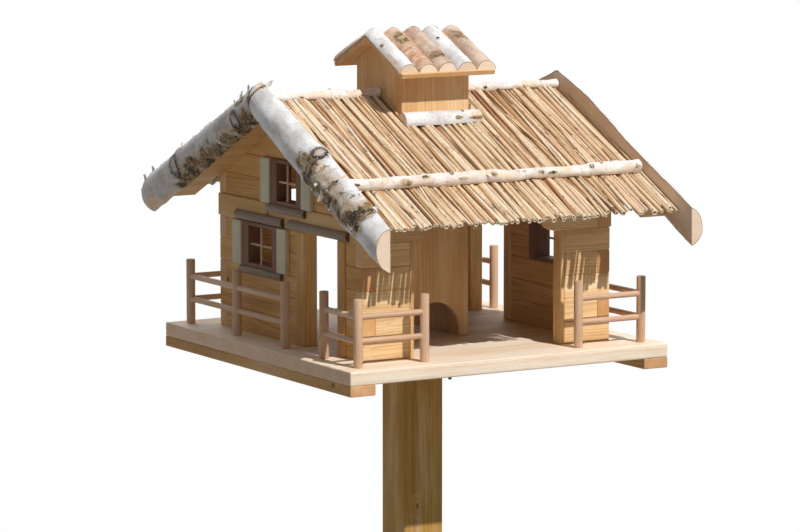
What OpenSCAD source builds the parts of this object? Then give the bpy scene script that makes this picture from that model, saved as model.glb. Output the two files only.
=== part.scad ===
// Chalet-style bird feeder on a square post.
// Log-cabin walls stand on a square board, a reed roof with bark-covered verge logs
// covers them, and a feed silo rises from the floor through the ridge.
// X runs along the ridge, the left gable faces -X, the wide front opening faces -Y and
// the back repeats the front turned by half a turn. The origin is on the foot of the post.

/* [Post and base board] */
// Height of the feeding floor above the ground
floor_h = 1080; // [600:10:1600]
// Side of the square post
post_w = 70; // [45:1:100]
// Width of the terrace beside each gable
side_terrace_w = 61; // [50:1:100]
// Width of the terrace along the front and the back
front_terrace_w = 70; // [60:1:110]
// Thickness of the base board
base_t = 22; // [15:1:35]
// Radius of the rounded edge round the top of the base board
base_edge = 5; // [1:0.5:10]
// Width of the two battens below the board's ends
batten_w = 43; // [25:1:70]
// Height of those battens
batten_h = 16; // [10:1:30]

/* [Walls] */
// Outer length of the house along the ridge
house_l = 438; // [400:1:480]
// Outer depth of the house
house_d = 446; // [430:1:480]
// Thickness of the wall planks
wall_t = 22; // [15:1:28]
// Height of one plank course
course_h = 35; // [30:1:40]
// Courses below the beam, which is the height of the doorways
door_courses = 5; // [5:1:6]
// Depth of the groove between two planks
groove = 2.5; // [1:0.1:4]
// Width of the wide openings in the front and back walls
feed_open_w = 260; // [200:1:290]
// Thickness of the boards that line those openings
jamb_t = 7; // [4:0.5:12]
// How far the top plank of each short wall reaches into the wide opening
corbel_out = 25; // [10:1:35]
// How far the gable beams stand proud of the planks
beam_proud = 3; // [1:0.5:6]

/* [Doorways] */
// Width of the doorway in each gable
door_w = 101; // [80:1:115]
// Width of the wall between each doorway and the corner of the house
door_side_w = 50; // [40:1:60]
// Width of the posts at its sides
door_post_w = 23; // [14:1:26]
// How far those posts stand proud of the planks
door_post_proud = 2; // [1:0.5:5]

/* [Windows and shutters] */
// Width of the lower window frame
low_window_w = 115; // [90:1:130]
// Width of the wall between that frame and the doorway's post
window_gap_w = 52.5; // [35:0.5:60]
// Width of the upper window frame
top_window_w = 100; // [80:1:120]
// Width of a frame's stiles
stile_w = 20; // [10:1:25]
// Width of a frame's rails
rail_w = 6; // [4:1:12]
// How far the frames stand proud of the planks
frame_proud = 5; // [2:0.5:8]
// Width of a shutter
shutter_w = 28; // [18:1:32]
// Thickness of a shutter
shutter_t = 8; // [4:0.5:12]
// Diameter of the half-round hoods over the doorways and lower windows
hood_d = 15; // [10:0.5:20]
// Diameter of the half-round window sills
sill_d = 13; // [8:0.5:18]
// How far hoods and sills reach past the opening frames
trim_reach = 17; // [6:1:20]

/* [Silo and lid] */
// Width of the silo along the ridge
silo_w = 120; // [100:1:140]
// Depth of the silo
silo_d = 137; // [120:1:150]
// Thickness of its boards
silo_t = 15; // [9:1:18]
// Width of the arch that the feed runs out of
arch_w = 86; // [60:1:88]
// Height of that arch
arch_h = 55; // [50:1:75]
// Height of the lid's ridge above the roof's ridge, undersides
lid_rise = 104; // [70:1:140]
// Length of the lid along the ridge
lid_l = 166; // [150:1:190]
// Horizontal reach of the lid's front slope
lid_run = 106; // [90:1:130]
// Horizontal reach of the lid's back slope
lid_back_run = 96; // [85:1:130]
// Thickness of the lid boards
lid_t = 8; // [5:0.5:12]
// Number of half-round pieces on each lid slope
lid_logs_n = 5; // [3:1:7]
// Height of those pieces at the eaves
lid_log_h = 12; // [8:0.5:16]
// Height of those pieces at the ridge
lid_log_ridge_h = 9; // [6:0.5:12]
// How far the outer pieces stand past the ends of the lid boards
lid_log_over = 3; // [0:0.5:8]
// Rest gap between the loose lid and the silo
lid_gap = 0.3; // [0.2:0.1:1]

/* [Roof] */
// Pitch of both slopes in degrees
pitch = 26; // [20:0.5:35]
// How far the reeds reach past the gable walls, up to the sawn faces of the verge logs
gable_overhang = 46; // [30:1:70]
// Thickness of the roof boards
deck_t = 9; // [6:0.5:15]
// How far the roof boards reach past the front and back walls
deck_overhang = 27; // [20:1:50]
// Thickness of the boards under the gable ends
verge_board_t = 16; // [10:0.5:24]
// How far those boards reach past the front and back walls
verge_board_overhang = 82; // [60:1:100]
// Thickness of the reed layer
thatch_t = 14; // [10:0.5:22]
// How far the reeds reach past the front and back walls
thatch_overhang = 110; // [80:1:130]
// Number of reed bundles side by side on each slope
bundles_n = 40; // [20:1:48]
// Gap between two bundles
bundle_gap = 0.9; // [0.5:0.1:2]
// Diameter of the split verge logs at their lower ends
verge_log_d = 58; // [44:1:72]
// Diameter of the knotty front left log halfway down
knotty_log_d = 67; // [50:1:80]
// Diameter of the left logs at the ridge
left_log_top_d = 53; // [40:1:64]
// Diameter of the right logs at the ridge
right_log_top_d = 43; // [36:1:60]
// Distance of the left logs' middle line behind their sawn faces
left_log_face_in = 5; // [0:0.5:10]
// Distance of the right logs' middle line behind their sawn faces
right_log_face_in = 8; // [0:0.5:12]
// How far the front left verge log reaches past the front wall
front_left_log_overhang = 159; // [120:1:180]
// How far the front right verge log reaches past the front wall
front_right_log_overhang = 153; // [120:1:180]
// How far the back verge logs reach past the back wall
back_log_overhang = 131; // [115:1:180]
// Height of the verge logs' middle above the underside of the roof boards
verge_log_up = 20; // [10:1:30]
// Diameter of the sticks along the ridge
ridge_stick_d = 14; // [8:0.5:20]
// Diameter of the sticks that hold the reeds down
hold_stick_d = 16; // [8:0.5:22]
// How far in from the edge of the roof boards those sticks lie
hold_stick_in = 4; // [0:1:40]
// Width of the half-round stick against the silo on each slope
foot_stick_w = 28; // [16:1:34]
// How far that stick reaches past the silo
foot_stick_reach = 8; // [2:1:14]

/* [Railings] */
// Diameter of the railing posts
rail_post_d = 14; // [8:0.5:18]
// Height of the railing posts
rail_post_h = 102; // [70:1:140]
// Diameter of the rails
rail_d = 9; // [5:0.5:12]
// Height of the lower rail's middle
rail_low = 39; // [25:1:50]
// Height of the upper rail's middle
rail_high = 75; // [60:1:100]
// Distance of the post middles from the edge of the base board
rail_inset = 30; // [15:1:32]
// Gap between a railing's end and the opening beside it
rail_gap = 6; // [2:1:15]
// Gap between the short side railings and the doorway
rail_door_gap = 12; // [4:1:20]

/* [Hidden] */
$fn = 48;

// Half sizes of the house
hx = house_l / 2;
hy = house_d / 2;
// Distances of the doorway's and the lower window's middle from the ridge line
door_off = hy - door_side_w - door_post_w - door_w / 2;
low_window_off = -door_off + door_w / 2 + door_post_w + window_gap_w + low_window_w / 2;
// Size of the base board
base_l = house_l + 2 * side_terrace_w;
base_d = house_d + 2 * front_terrace_w;
// Height of the doorways, of the beam's top and of the walls
door_h = door_courses * course_h;
beam_top = door_h + course_h;
wall_h = beam_top + course_h;
// Heights of the roof's surfaces at the ridge line
slope = tan(pitch);
deck_under = wall_h + hy * slope;
deck_over = deck_under + deck_t / cos(pitch);
thatch_over = deck_over + thatch_t / cos(pitch);
lid_under = deck_under + lid_rise;
// Length of the roof between the sawn faces of the verge logs
roof_l = house_l + 2 * gable_overhang;
// Horizontal reach of the roof's layers from the ridge line
deck_run = hy + deck_overhang;
verge_board_run = hy + verge_board_overhang;
thatch_run = hy + thatch_overhang;
// Pitch of the reed bundles along the ridge, and their diameter
bundle_step = roof_l / bundles_n;
bundle_d = bundle_step - bundle_gap;
// Pitch of the lid's half-round pieces along the ridge, and their width
lid_log_step = (lid_l + 2 * lid_log_over) / lid_logs_n;
lid_log_w = lid_log_step - 1;
// Small gap round the silo where it passes the roof
silo_gap = 0.5;
// Lengths of the hoods and sills
low_hood_l = low_window_w + 2 * trim_reach;
door_hood_l = door_w + 2 * door_post_w + 2 * trim_reach;
// Free height of a window frame, two courses
window_h = 2 * course_h;
// Lengths of the railings from the corner: along the front, and past the doorway or windows
rail_corner_x = base_l / 2 - rail_inset;
rail_corner_y = base_d / 2 - rail_inset;
rail_front_l = rail_corner_x - feed_open_w / 2 - rail_gap;
rail_short_l = rail_corner_y - door_off - door_w / 2 - rail_door_gap;
rail_long_l = rail_corner_y + door_off - door_w / 2 - rail_gap;

wood_pale = "#E6CFA0";
wood_plank = "#D2A865";
wood_dowel = "#D8B79C";
wood_frame = "#9A6B4C";
shutter_green = "#C9CDB4";
bark_white = "#DDD8D0";
bark_brown = "#A88468";
reed_gold = "#CFA66B";

// Lifts the parts from the floor's level to their height above the ground.
module on_floor() {
    translate([0, 0, floor_h]) children();
}

// Places the opposite part, half a turn about the post.
module opposite() {
    rotate([0, 0, 180]) children();
}

// Turns a plank drawn for the front wall to the left gable, starting at y.
module on_left_gable(y) {
    translate([-hx, y, 0]) rotate([0, 0, -90]) children();
}

// One plank along +X with its outer face at y = 0: course k, all four edges bevelled.
module plank(length, k) {
    translate([0, 0, k * course_h])
        rotate([90, 0, 90])
            linear_extrude(height = length)
                polygon([[groove, 0], [0, groove], [0, course_h - groove], [groove, course_h],
                         [wall_t - groove, course_h], [wall_t, course_h - groove],
                         [wall_t, groove], [wall_t - groove, 0]]);
}

// Prism below both roof slopes whose apex is at height z.
module under_slopes(z, reach, x0, x1) {
    translate([x0, 0, 0])
        rotate([90, 0, 90])
            linear_extrude(height = x1 - x0)
                polygon([[-reach, -1], [reach, -1], [reach, z - reach * slope],
                         [0, z], [-reach, z - reach * slope]]);
}

// A sloping layer from the ridge line down to run, on the side given by dir.
module slope_layer(z, thick, run, from, x0, x1, dir) {
    rise = thick / cos(pitch);
    translate([x0, 0, 0])
        rotate([90, 0, 90])
            linear_extrude(height = x1 - x0)
                polygon([
                    [dir * from, z - from * slope],
                    [dir * run, z - run * slope],
                    [dir * (run + thick * sin(pitch)), z - run * slope + thick * cos(pitch)],
                    [dir * from, z - from * slope + rise]
                ]);
}

// The well that the silo takes through the roof.
module silo_well(gap) {
    translate([-silo_w / 2 - gap, -silo_d / 2 - gap, 0])
        cube([silo_w + 2 * gap, silo_d + 2 * gap, wall_h + deck_under]);
}

// ---- Post and base ----

module post() {
    color(wood_pale)
        translate([-post_w / 2, -post_w / 2, 0])
            cube([post_w, post_w, floor_h - base_t]);
}

module base_board() {
    color(wood_pale) on_floor() translate([0, 0, -base_t]) {
        difference() {
            translate([-base_l / 2, -base_d / 2, 0]) cube([base_l, base_d, base_t]);
            for (side = [-1, 1]) {
                edge_cut(base_d, side * base_l / 2, side, 0);
                edge_cut(base_l, side * base_d / 2, side, 90);
            }
        }
    }
}

// Takes the sharp top edge off the base board along one side.
module edge_cut(length, at, side, turn) {
    rotate([0, 0, turn])
        translate([at - side * base_edge, 0, base_t - base_edge])
            rotate([90, 0, 0])
                linear_extrude(height = length + 2, center = true)
                    difference() {
                        translate([side > 0 ? 0 : -base_edge - 1, 0])
                            square([base_edge + 1, base_edge + 1]);
                        circle(r = base_edge);
                    }
}

module base_battens() {
    color(wood_plank) on_floor()
        for (x = [-base_l / 2, base_l / 2 - batten_w])
            translate([x, -base_d / 2, -base_t - batten_h])
                cube([batten_w, base_d, batten_h]);
}

// ---- Front and back walls ----

// Short wall left of the front opening. Every other plank runs out to the corner.
module short_wall() {
    end = -feed_open_w / 2 - jamb_t;
    for (k = [0 : door_courses])
        through_plank(k, end);
    corbel(end);
}

// One front plank: the odd courses stop at the gable planks, which run through there.
module through_plank(k, end) {
    start = k % 2 == 0 ? -hx : -hx + wall_t;
    translate([start, -hy, 0]) plank(end - start, k);
}

// The top plank's end, which reaches past the jamb with its lower corner cut off.
module corbel(end) {
    reach = jamb_t + corbel_out;
    cut = corbel_out * 0.8;
    translate([end, -hy + wall_t, door_h])
        rotate([90, 0, 0])
            linear_extrude(height = wall_t - groove)
                polygon([[0, 0], [reach - cut, 0], [reach - cut * 0.3, cut * 0.35],
                         [reach, cut * 0.9], [reach, course_h], [0, course_h]]);
}

module front_left_wall() {
    color(wood_plank) on_floor() short_wall();
}

module front_right_wall() {
    color(wood_plank) on_floor() mirror([1, 0, 0]) short_wall();
}

module back_right_wall() {
    color(wood_plank) on_floor() opposite() short_wall();
}

module back_left_wall() {
    color(wood_plank) on_floor() opposite() mirror([1, 0, 0]) short_wall();
}

// Boards on the ends of the four short walls.
module opening_jambs() {
    color(wood_plank) on_floor()
        for (turn = [0, 180], side = [-1, 1])
            rotate([0, 0, turn])
                translate([side * (feed_open_w + jamb_t) / 2 - jamb_t / 2, -hy, 0])
                    cube([jamb_t, wall_t, door_h]);
}

// Full-length top planks over the wide openings, under the roof boards.
module wall_plates() {
    color(wood_plank) on_floor()
        for (turn = [0, 180])
            rotate([0, 0, turn])
                translate([-hx, -hy, 0])
                    rotate([90, 0, 90])
                        linear_extrude(height = house_l)
                            polygon([[groove, beam_top], [0, beam_top + groove], [0, wall_h],
                                     [wall_t, wall_h + wall_t * slope], [wall_t, beam_top]]);
}

// ---- Gables ----

// Planks of a gable between y_back and y_front; those at a corner lap the front planks.
module gable_planks(y_back, y_front, first, last) {
    for (k = [first : last]) {
        a = y_back > hy - 1 ? corner_y(k) : y_back;
        b = y_front < 1 - hy ? -corner_y(k) : y_front;
        on_left_gable(a) plank(a - b, k);
    }
}

// Gable planks of the odd courses run through to the face of the front wall.
function corner_y(k) = k % 2 == 1 ? hy : hy - wall_t;

module low_window_hole() {
    translate([-hx - 1, low_window_off - low_window_w / 2, door_h - window_h])
        cube([wall_t + 2, low_window_w, window_h + 1]);
}

module window_wall() {
    difference() {
        gable_planks(hy, -door_off + door_w / 2 + door_post_w, 0, door_courses - 1);
        low_window_hole();
    }
}

module door_side_wall() {
    gable_planks(-door_off - door_w / 2 - door_post_w, -hy, 0, door_courses - 1);
}

module gable_beam() {
    translate([-hx - beam_proud, -hy, door_h])
        cube([wall_t + beam_proud, house_d, course_h]);
}

// Planks above the beam, cut to the roof slopes, with the upper window's hole.
module gable_top() {
    last = floor(deck_under / course_h);
    difference() {
        intersection() {
            gable_planks(hy - wall_t, -hy + wall_t, door_courses + 1, last);
            under_slopes(deck_under, hy + 1, -hx - 1, hx + 1);
        }
        translate([-hx - 1, -top_window_w / 2, beam_top - 1])
            cube([wall_t + 2, top_window_w, window_h + 1]);
    }
}

module left_gable_rear_wall() {
    color(wood_plank) on_floor() window_wall();
}

module left_gable_front_wall() {
    color(wood_plank) on_floor() door_side_wall();
}

module left_gable_beam() {
    color(wood_pale) on_floor() gable_beam();
}

module left_gable_top() {
    color(wood_plank) on_floor() gable_top();
}

module right_gable_front_wall() {
    color(wood_plank) on_floor() opposite() window_wall();
}

module right_gable_rear_wall() {
    color(wood_plank) on_floor() opposite() door_side_wall();
}

module right_gable_beam() {
    color(wood_pale) on_floor() opposite() gable_beam();
}

module right_gable_top() {
    color(wood_plank) on_floor() opposite() gable_top();
}

// The two posts beside a doorway.
module door_posts() {
    for (side = [-1, 1])
        translate([-hx - door_post_proud,
                   -door_off + side * (door_w + door_post_w) / 2 - door_post_w / 2, 0])
            cube([wall_t + door_post_proud, door_post_w, door_h]);
}

module left_door_posts() {
    color(wood_plank) on_floor() door_posts();
}

module right_door_posts() {
    color(wood_plank) on_floor() opposite() door_posts();
}

// ---- Windows, shutters, hoods and sills ----

// One window frame with its middle at y and its foot at z.
module window_frame(y, z, width) {
    translate([-hx - frame_proud, y, z])
        difference() {
            translate([0, -width / 2, 0])
                cube([wall_t + frame_proud, width, window_h]);
            translate([-1, -width / 2 + stile_w, rail_w])
                cube([wall_t + frame_proud + 2, width - 2 * stile_w, window_h - 2 * rail_w]);
        }
}

module windows() {
    window_frame(low_window_off, door_h - window_h, low_window_w);
    window_frame(0, beam_top, top_window_w);
}

// Two flat shutters beside a window.
module shutter_pair(y, z, width) {
    for (side = [-1, 1])
        translate([-hx - shutter_t,
                   y + side * (width + shutter_w) / 2 - shutter_w / 2, z])
            cube([shutter_t, shutter_w, window_h]);
}

module shutters() {
    shutter_pair(low_window_off, door_h - window_h, low_window_w);
    shutter_pair(0, beam_top, top_window_w);
}

// Half-round strip along Y with its flat side at x = face and its foot at z.
module half_round(face, y, z, length, d) {
    translate([face, y, z + d / 2])
        rotate([90, 0, 0])
            intersection() {
                cylinder(d = d, h = length, center = true);
                translate([-d, -d, -length]) cube([d, 2 * d, 2 * length]);
            }
}

module hoods() {
    face = -hx - beam_proud;
    half_round(face, low_window_off, door_h + 1, low_hood_l, hood_d);
    half_round(face, -door_off, door_h + 1, door_hood_l, hood_d);
}

module sills() {
    half_round(-hx, low_window_off, door_h - window_h - sill_d,
               low_window_w + trim_reach, sill_d);
    half_round(-hx - beam_proud, 0, beam_top - sill_d,
               top_window_w + trim_reach, sill_d);
}

module left_windows() {
    color(wood_frame) on_floor() windows();
}

module right_windows() {
    color(wood_frame) on_floor() opposite() windows();
}

module left_shutters() {
    color(shutter_green) on_floor() shutters();
}

module right_shutters() {
    color(shutter_green) on_floor() opposite() shutters();
}

module left_hoods() {
    color(wood_dowel) on_floor() hoods();
}

module right_hoods() {
    color(wood_dowel) on_floor() opposite() hoods();
}

module left_sills() {
    color(wood_dowel) on_floor() sills();
}

module right_sills() {
    color(wood_dowel) on_floor() opposite() sills();
}

// ---- Silo ----

// Front board of the silo with its arch; its top follows the lid's slope.
module silo_arch_board() {
    r = arch_w / 2;
    difference() {
        intersection() {
            translate([-silo_w / 2, -silo_d / 2, 0]) cube([silo_w, silo_t, lid_under]);
            under_slopes(lid_under - lid_gap, silo_d, -silo_w, silo_w);
        }
        translate([0, -silo_d / 2 + silo_t / 2, arch_h - r])
            rotate([90, 0, 0]) cylinder(r = r, h = silo_t + 2, center = true);
        translate([-r, -silo_d / 2 - 1, -1]) cube([arch_w, silo_t + 2, arch_h - r + 1]);
    }
}

// Side board of the silo between the arch boards, with a gable-shaped top.
module silo_side_board() {
    intersection() {
        translate([-silo_w / 2, -silo_d / 2 + silo_t, 0])
            cube([silo_t, silo_d - 2 * silo_t, lid_under]);
        under_slopes(lid_under - lid_gap, silo_d, -silo_w, silo_w);
    }
}

module silo_front() {
    color(wood_pale) on_floor() silo_arch_board();
}

module silo_back() {
    color(wood_pale) on_floor() opposite() silo_arch_board();
}

module silo_left_side() {
    color(wood_pale) on_floor() silo_side_board();
}

module silo_right_side() {
    color(wood_pale) on_floor() opposite() silo_side_board();
}

// Half-round sticks that close the reeds against the silo's front and back.
module silo_foot_sticks() {
    color(bark_white) on_floor()
        for (turn = [0, 180])
            rotate([0, 0, turn]) foot_stick();
}

module foot_stick() {
    length = silo_w + 2 * foot_stick_reach;
    r = foot_stick_w / 2;
    run = silo_d / 2 + 0.5 + r * cos(pitch);
    translate([0, -run, thatch_over - run * slope])
        rotate([pitch, 0, 0])
            rotate([0, 90, 0])
                intersection() {
                    cylinder(r = r, h = length, center = true);
                    translate([-2 * r, -2 * r, -length]) cube([2 * r, 4 * r, 2 * length]);
                }
}

// ---- Lid ----

module silo_lid_boards() {
    color(wood_pale) on_floor() {
        slope_layer(lid_under, lid_t, lid_run, 0, -lid_l / 2, lid_l / 2, -1);
        slope_layer(lid_under, lid_t, lid_back_run, 0, -lid_l / 2, lid_l / 2, 1);
    }
}

// Half-round pieces side by side on both slopes of the lid.
module silo_lid_logs() {
    color(bark_brown) on_floor()
        for (i = [0 : lid_logs_n - 1]) {
            x = (i - (lid_logs_n - 1) / 2) * lid_log_step;
            lid_log(x, lid_run);
            opposite() lid_log(x, lid_back_run);
        }
}

// One piece: a cylinder whose top shows above the lid boards, cut plumb at both ends. It
// lies a little flatter than the boards, so that it is lower at the ridge.
module lid_log(x, run) {
    r = (pow(lid_log_w / 2, 2) + pow(lid_log_h, 2)) / (2 * lid_log_h);
    base = lid_under + lid_t / cos(pitch);
    top = base + 2 * lid_log_h / cos(pitch);
    tilt = atan((lid_log_h - lid_log_ridge_h) * cos(pitch) / run);
    intersection() {
        translate([x, -run, base - run * slope])
            rotate([pitch - tilt, 0, 0])
                translate([0, 0, lid_log_h - r])
                    rotate([90, 0, 0]) cylinder(r = r, h = 3 * run, center = true);
        translate([x - lid_log_w, 0, 0])
            rotate([90, 0, 90])
                linear_extrude(height = 2 * lid_log_w)
                    polygon([[0, base], [0, top], [-run, top], [-run, base - run * slope]]);
    }
}

// ---- Roof ----

module roof_boards() {
    color(wood_plank) on_floor() difference() {
        for (dir = [-1, 1])
            slope_layer(deck_under, deck_t, deck_run, 0, -hx, hx, dir);
        silo_well(silo_gap);
    }
}

// Boards under the roof's overhang at a gable end.
module verge_boards(x0, x1) {
    z = deck_over - verge_board_t / cos(pitch);
    for (dir = [-1, 1])
        slope_layer(z, verge_board_t, verge_board_run, 0, x0, x1, dir);
}

module left_verge_boards() {
    color(wood_plank) on_floor() verge_boards(-roof_l / 2, -hx);
}

module right_verge_boards() {
    color(wood_plank) on_floor() verge_boards(hx, roof_l / 2);
}

// Section through the front slope's reeds: a flat layer under a row of round bundles.
module reed_section() {
    flat = thatch_t - bundle_d / 2;
    square([roof_l, flat]);
    for (i = [0 : bundles_n - 1])
        translate([(i + 0.5) * bundle_step, flat]) circle(d = bundle_d, $fn = 24);
}

// Reeds of the front slope, open round the silo and along the ridge.
module thatch() {
    difference() {
        translate([-roof_l / 2, 0, deck_over])
            rotate([pitch, 0, 0])
                rotate([90, 0, 0])
                    linear_extrude(height = thatch_run / cos(pitch)) reed_section();
        translate([-roof_l, -ridge_stick_d / 2, 0])
            cube([2 * roof_l, ridge_stick_d, 2 * deck_over]);
        silo_well(silo_gap);
    }
}

module front_thatch() {
    color(reed_gold) on_floor() thatch();
}

module back_thatch() {
    color(reed_gold) on_floor() opposite() thatch();
}

// Sticks in the groove between the reeds, left and right of the silo.
module ridge_sticks() {
    inner = silo_w / 2 + 1;
    length = roof_l / 2 - inner;
    color(bark_white) on_floor()
        for (x = [-roof_l / 2, inner])
            translate([x, 0, thatch_over - ridge_stick_d / 2 * slope])
                rotate([0, 90, 0]) cylinder(d = ridge_stick_d, h = length);
}

// Sticks across the slopes that hold the reeds down.
module hold_down_sticks() {
    hold_stick_run = deck_run - hold_stick_in;
    z = thatch_over - hold_stick_run * slope + hold_stick_d / 2 / cos(pitch);
    color(bark_white) on_floor()
        for (y = [-hold_stick_run, hold_stick_run])
            translate([0, y, z])
                rotate([0, 90, 0]) cylinder(d = hold_stick_d, h = roof_l, center = true);
}

// Split log on the right verge of the front slope: sawn face inward, ends plumb. Its
// diameter changes from top_d at the ridge over middle_d halfway down to verge_log_d.
module verge_log(overhang, face_in, top_d, middle_d) {
    run = hy + overhang;
    half = run / cos(pitch) / 2;
    intersection() {
        translate([roof_l / 2 - face_in, 0, deck_under + verge_log_up])
            rotate([pitch, 0, 0])
                rotate([90, 0, 0]) {
                    translate([0, 0, -top_d]) cylinder(d = top_d, h = top_d);
                    cylinder(d1 = top_d, d2 = middle_d, h = half);
                    translate([0, 0, half]) cylinder(d1 = middle_d, d2 = verge_log_d, h = half);
                    translate([0, 0, 2 * half]) cylinder(d = verge_log_d, h = verge_log_d);
                }
        translate([roof_l / 2, -run, 0]) cube([middle_d + top_d, run, 2 * deck_under]);
    }
}

module front_right_verge_log() {
    middle_d = (right_log_top_d + verge_log_d) / 2;
    color(bark_white) on_floor()
        verge_log(front_right_log_overhang, right_log_face_in, right_log_top_d, middle_d);
}

module front_left_verge_log() {
    color(bark_white) on_floor() mirror([1, 0, 0])
        verge_log(front_left_log_overhang, left_log_face_in, left_log_top_d, knotty_log_d);
}

module back_left_verge_log() {
    color(bark_white) on_floor() opposite()
        verge_log(back_log_overhang, left_log_face_in, left_log_top_d, verge_log_d);
}

module back_right_verge_log() {
    color(bark_white) on_floor() opposite() mirror([1, 0, 0])
        verge_log(back_log_overhang, right_log_face_in, right_log_top_d, verge_log_d);
}

// ---- Railings ----

// Corner railing: front_l along the front and side_l along the side, from the front-left
// corner, with extra posts that split the side into bays.
module railing(front_l, side_l, bays) {
    x = -rail_corner_x;
    y = -rail_corner_y;
    rail_post(x, y);
    rail_post(x + front_l, y);
    for (i = [1 : bays])
        rail_post(x, y + side_l * i / bays);
    for (z = [rail_low, rail_high]) {
        translate([x, y, z]) rotate([0, 90, 0]) cylinder(d = rail_d, h = front_l);
        translate([x, y, z]) rotate([-90, 0, 0]) cylinder(d = rail_d, h = side_l);
    }
}

module rail_post(x, y) {
    translate([x, y, 0]) cylinder(d = rail_post_d, h = rail_post_h);
}

module front_left_railing() {
    color(wood_dowel) on_floor() railing(rail_front_l, rail_short_l, 1);
}

module back_right_railing() {
    color(wood_dowel) on_floor() opposite() railing(rail_front_l, rail_short_l, 1);
}

module front_right_railing() {
    color(wood_dowel) on_floor() mirror([1, 0, 0]) railing(rail_front_l, rail_long_l, 2);
}

module back_left_railing() {
    color(wood_dowel) on_floor()
        opposite() mirror([1, 0, 0]) railing(rail_front_l, rail_long_l, 2);
}

post();
base_board();
base_battens();
front_left_wall();
front_right_wall();
back_left_wall();
back_right_wall();
opening_jambs();
wall_plates();
left_gable_rear_wall();
left_gable_front_wall();
left_gable_beam();
left_gable_top();
right_gable_front_wall();
right_gable_rear_wall();
right_gable_beam();
right_gable_top();
left_door_posts();
right_door_posts();
left_windows();
right_windows();
left_shutters();
right_shutters();
left_hoods();
right_hoods();
left_sills();
right_sills();
silo_front();
silo_back();
silo_left_side();
silo_right_side();
silo_foot_sticks();
silo_lid_boards();
silo_lid_logs();
roof_boards();
left_verge_boards();
right_verge_boards();
front_thatch();
back_thatch();
ridge_sticks();
hold_down_sticks();
front_left_verge_log();
back_left_verge_log();
front_right_verge_log();
back_right_verge_log();
front_left_railing();
front_right_railing();
back_left_railing();
back_right_railing();
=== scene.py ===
"""Dresses the chalet-shaped bird feeder in planks, birch, reeds and dowels."""

import logging
import math
import random
from contextlib import contextmanager
from dataclasses import dataclass, field, replace
from enum import Enum
from functools import partial
from typing import Iterator, Sequence

import bpy
import numpy as np
from mathutils import Matrix, Vector


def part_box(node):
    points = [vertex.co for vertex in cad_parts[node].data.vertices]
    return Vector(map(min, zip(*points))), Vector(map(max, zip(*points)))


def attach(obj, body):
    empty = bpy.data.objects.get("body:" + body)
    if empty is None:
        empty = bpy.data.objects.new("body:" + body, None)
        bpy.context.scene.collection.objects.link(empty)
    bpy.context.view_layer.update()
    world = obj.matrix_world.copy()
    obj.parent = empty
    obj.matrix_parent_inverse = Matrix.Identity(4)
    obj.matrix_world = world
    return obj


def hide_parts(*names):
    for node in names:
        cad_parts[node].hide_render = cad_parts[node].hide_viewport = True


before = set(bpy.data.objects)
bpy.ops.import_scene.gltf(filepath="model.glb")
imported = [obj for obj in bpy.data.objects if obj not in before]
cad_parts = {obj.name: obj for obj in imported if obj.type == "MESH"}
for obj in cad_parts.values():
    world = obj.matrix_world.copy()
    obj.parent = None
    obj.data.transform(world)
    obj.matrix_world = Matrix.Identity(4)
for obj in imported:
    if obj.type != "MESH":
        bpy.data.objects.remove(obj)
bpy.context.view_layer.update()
log = logging.getLogger("bird_feeder")

Colour = tuple[float, float, float, float]
Piece = bpy.types.Object
Socket = bpy.types.NodeSocket
X, Y, Z = Vector((1, 0, 0)), Vector((0, 1, 0)), Vector((0, 0, 1))
PLANKS, THIN_STEM, TWIG = (0.03, 0.09), (0.004, 0.02), (0.002, 0.006)


# -------- hand tools


def tint(code: str) -> Colour:
    """Turns a six-figure colour code into the linear colour that shaders take.

    Args:
        code: The colour as RRGGBB.

    Returns:
        Red, green, blue and a full alpha.
    """
    parts = [int(code[i : i + 2], 16) / 255 for i in (0, 2, 4)]
    linear = [c / 12.92 if c <= 0.04045 else ((c + 0.055) / 1.055) ** 2.4 for c in parts]
    return (*linear, 1.0)


def select_only(*pieces: Piece) -> None:
    """Leaves just these pieces selected, the first of them active.

    Args:
        pieces: The pieces.
    """
    if bpy.context.object and bpy.context.object.mode != "OBJECT":
        bpy.ops.object.mode_set(mode="OBJECT")
    bpy.ops.object.select_all(action="DESELECT")
    for piece in pieces:
        piece.select_set(True)
    bpy.context.view_layer.objects.active = pieces[0]


@contextmanager
def edit_mode(piece: Piece, selection: str = "SELECT", part: int = 0) -> Iterator[None]:
    """Opens the piece in edit mode and closes it again.

    Args:
        piece: The piece to edit.
        selection: SELECT for all of it, or an empty text for what is selected already.
        part: What operators select by: 0 for vertices, 1 for edges and 2 for faces.

    Returns:
        Control, while the piece is open.
    """
    select_only(piece)
    choice = bpy.context.tool_settings
    choice.mesh_select_mode = [i == part for i in range(3)]
    bpy.ops.object.mode_set(mode="EDIT")
    if selection:
        bpy.ops.mesh.select_all(action=selection)
    yield
    bpy.ops.object.mode_set(mode="OBJECT")
    choice.mesh_select_mode = (True, False, False)


def points_of(piece: Piece) -> np.ndarray:
    """Reads the piece's vertices.

    Args:
        piece: The piece.

    Returns:
        Rows of x, y and z.
    """
    flat = np.empty(len(piece.data.vertices) * 3)
    piece.data.vertices.foreach_get("co", flat)
    return flat.reshape(-1, 3)


def move_points(piece: Piece, points: np.ndarray) -> None:
    """Writes rows of x, y and z back to the piece's vertices."""
    piece.data.vertices.foreach_set("co", points.astype(np.float32).ravel())
    piece.data.update()


def store(piece: Piece, name: str, values: np.ndarray) -> None:
    """Keeps one vector or one number for each vertex as a named attribute.

    Args:
        piece: The piece.
        name: The attribute's name.
        values: A row or a number for each vertex.
    """
    vector = values.ndim == 2
    layer = piece.data.attributes.get(name) or piece.data.attributes.new(
        name, "FLOAT_VECTOR" if vector else "FLOAT", "POINT"
    )
    layer.data.foreach_set("vector" if vector else "value", values.astype(np.float32).ravel())


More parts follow.
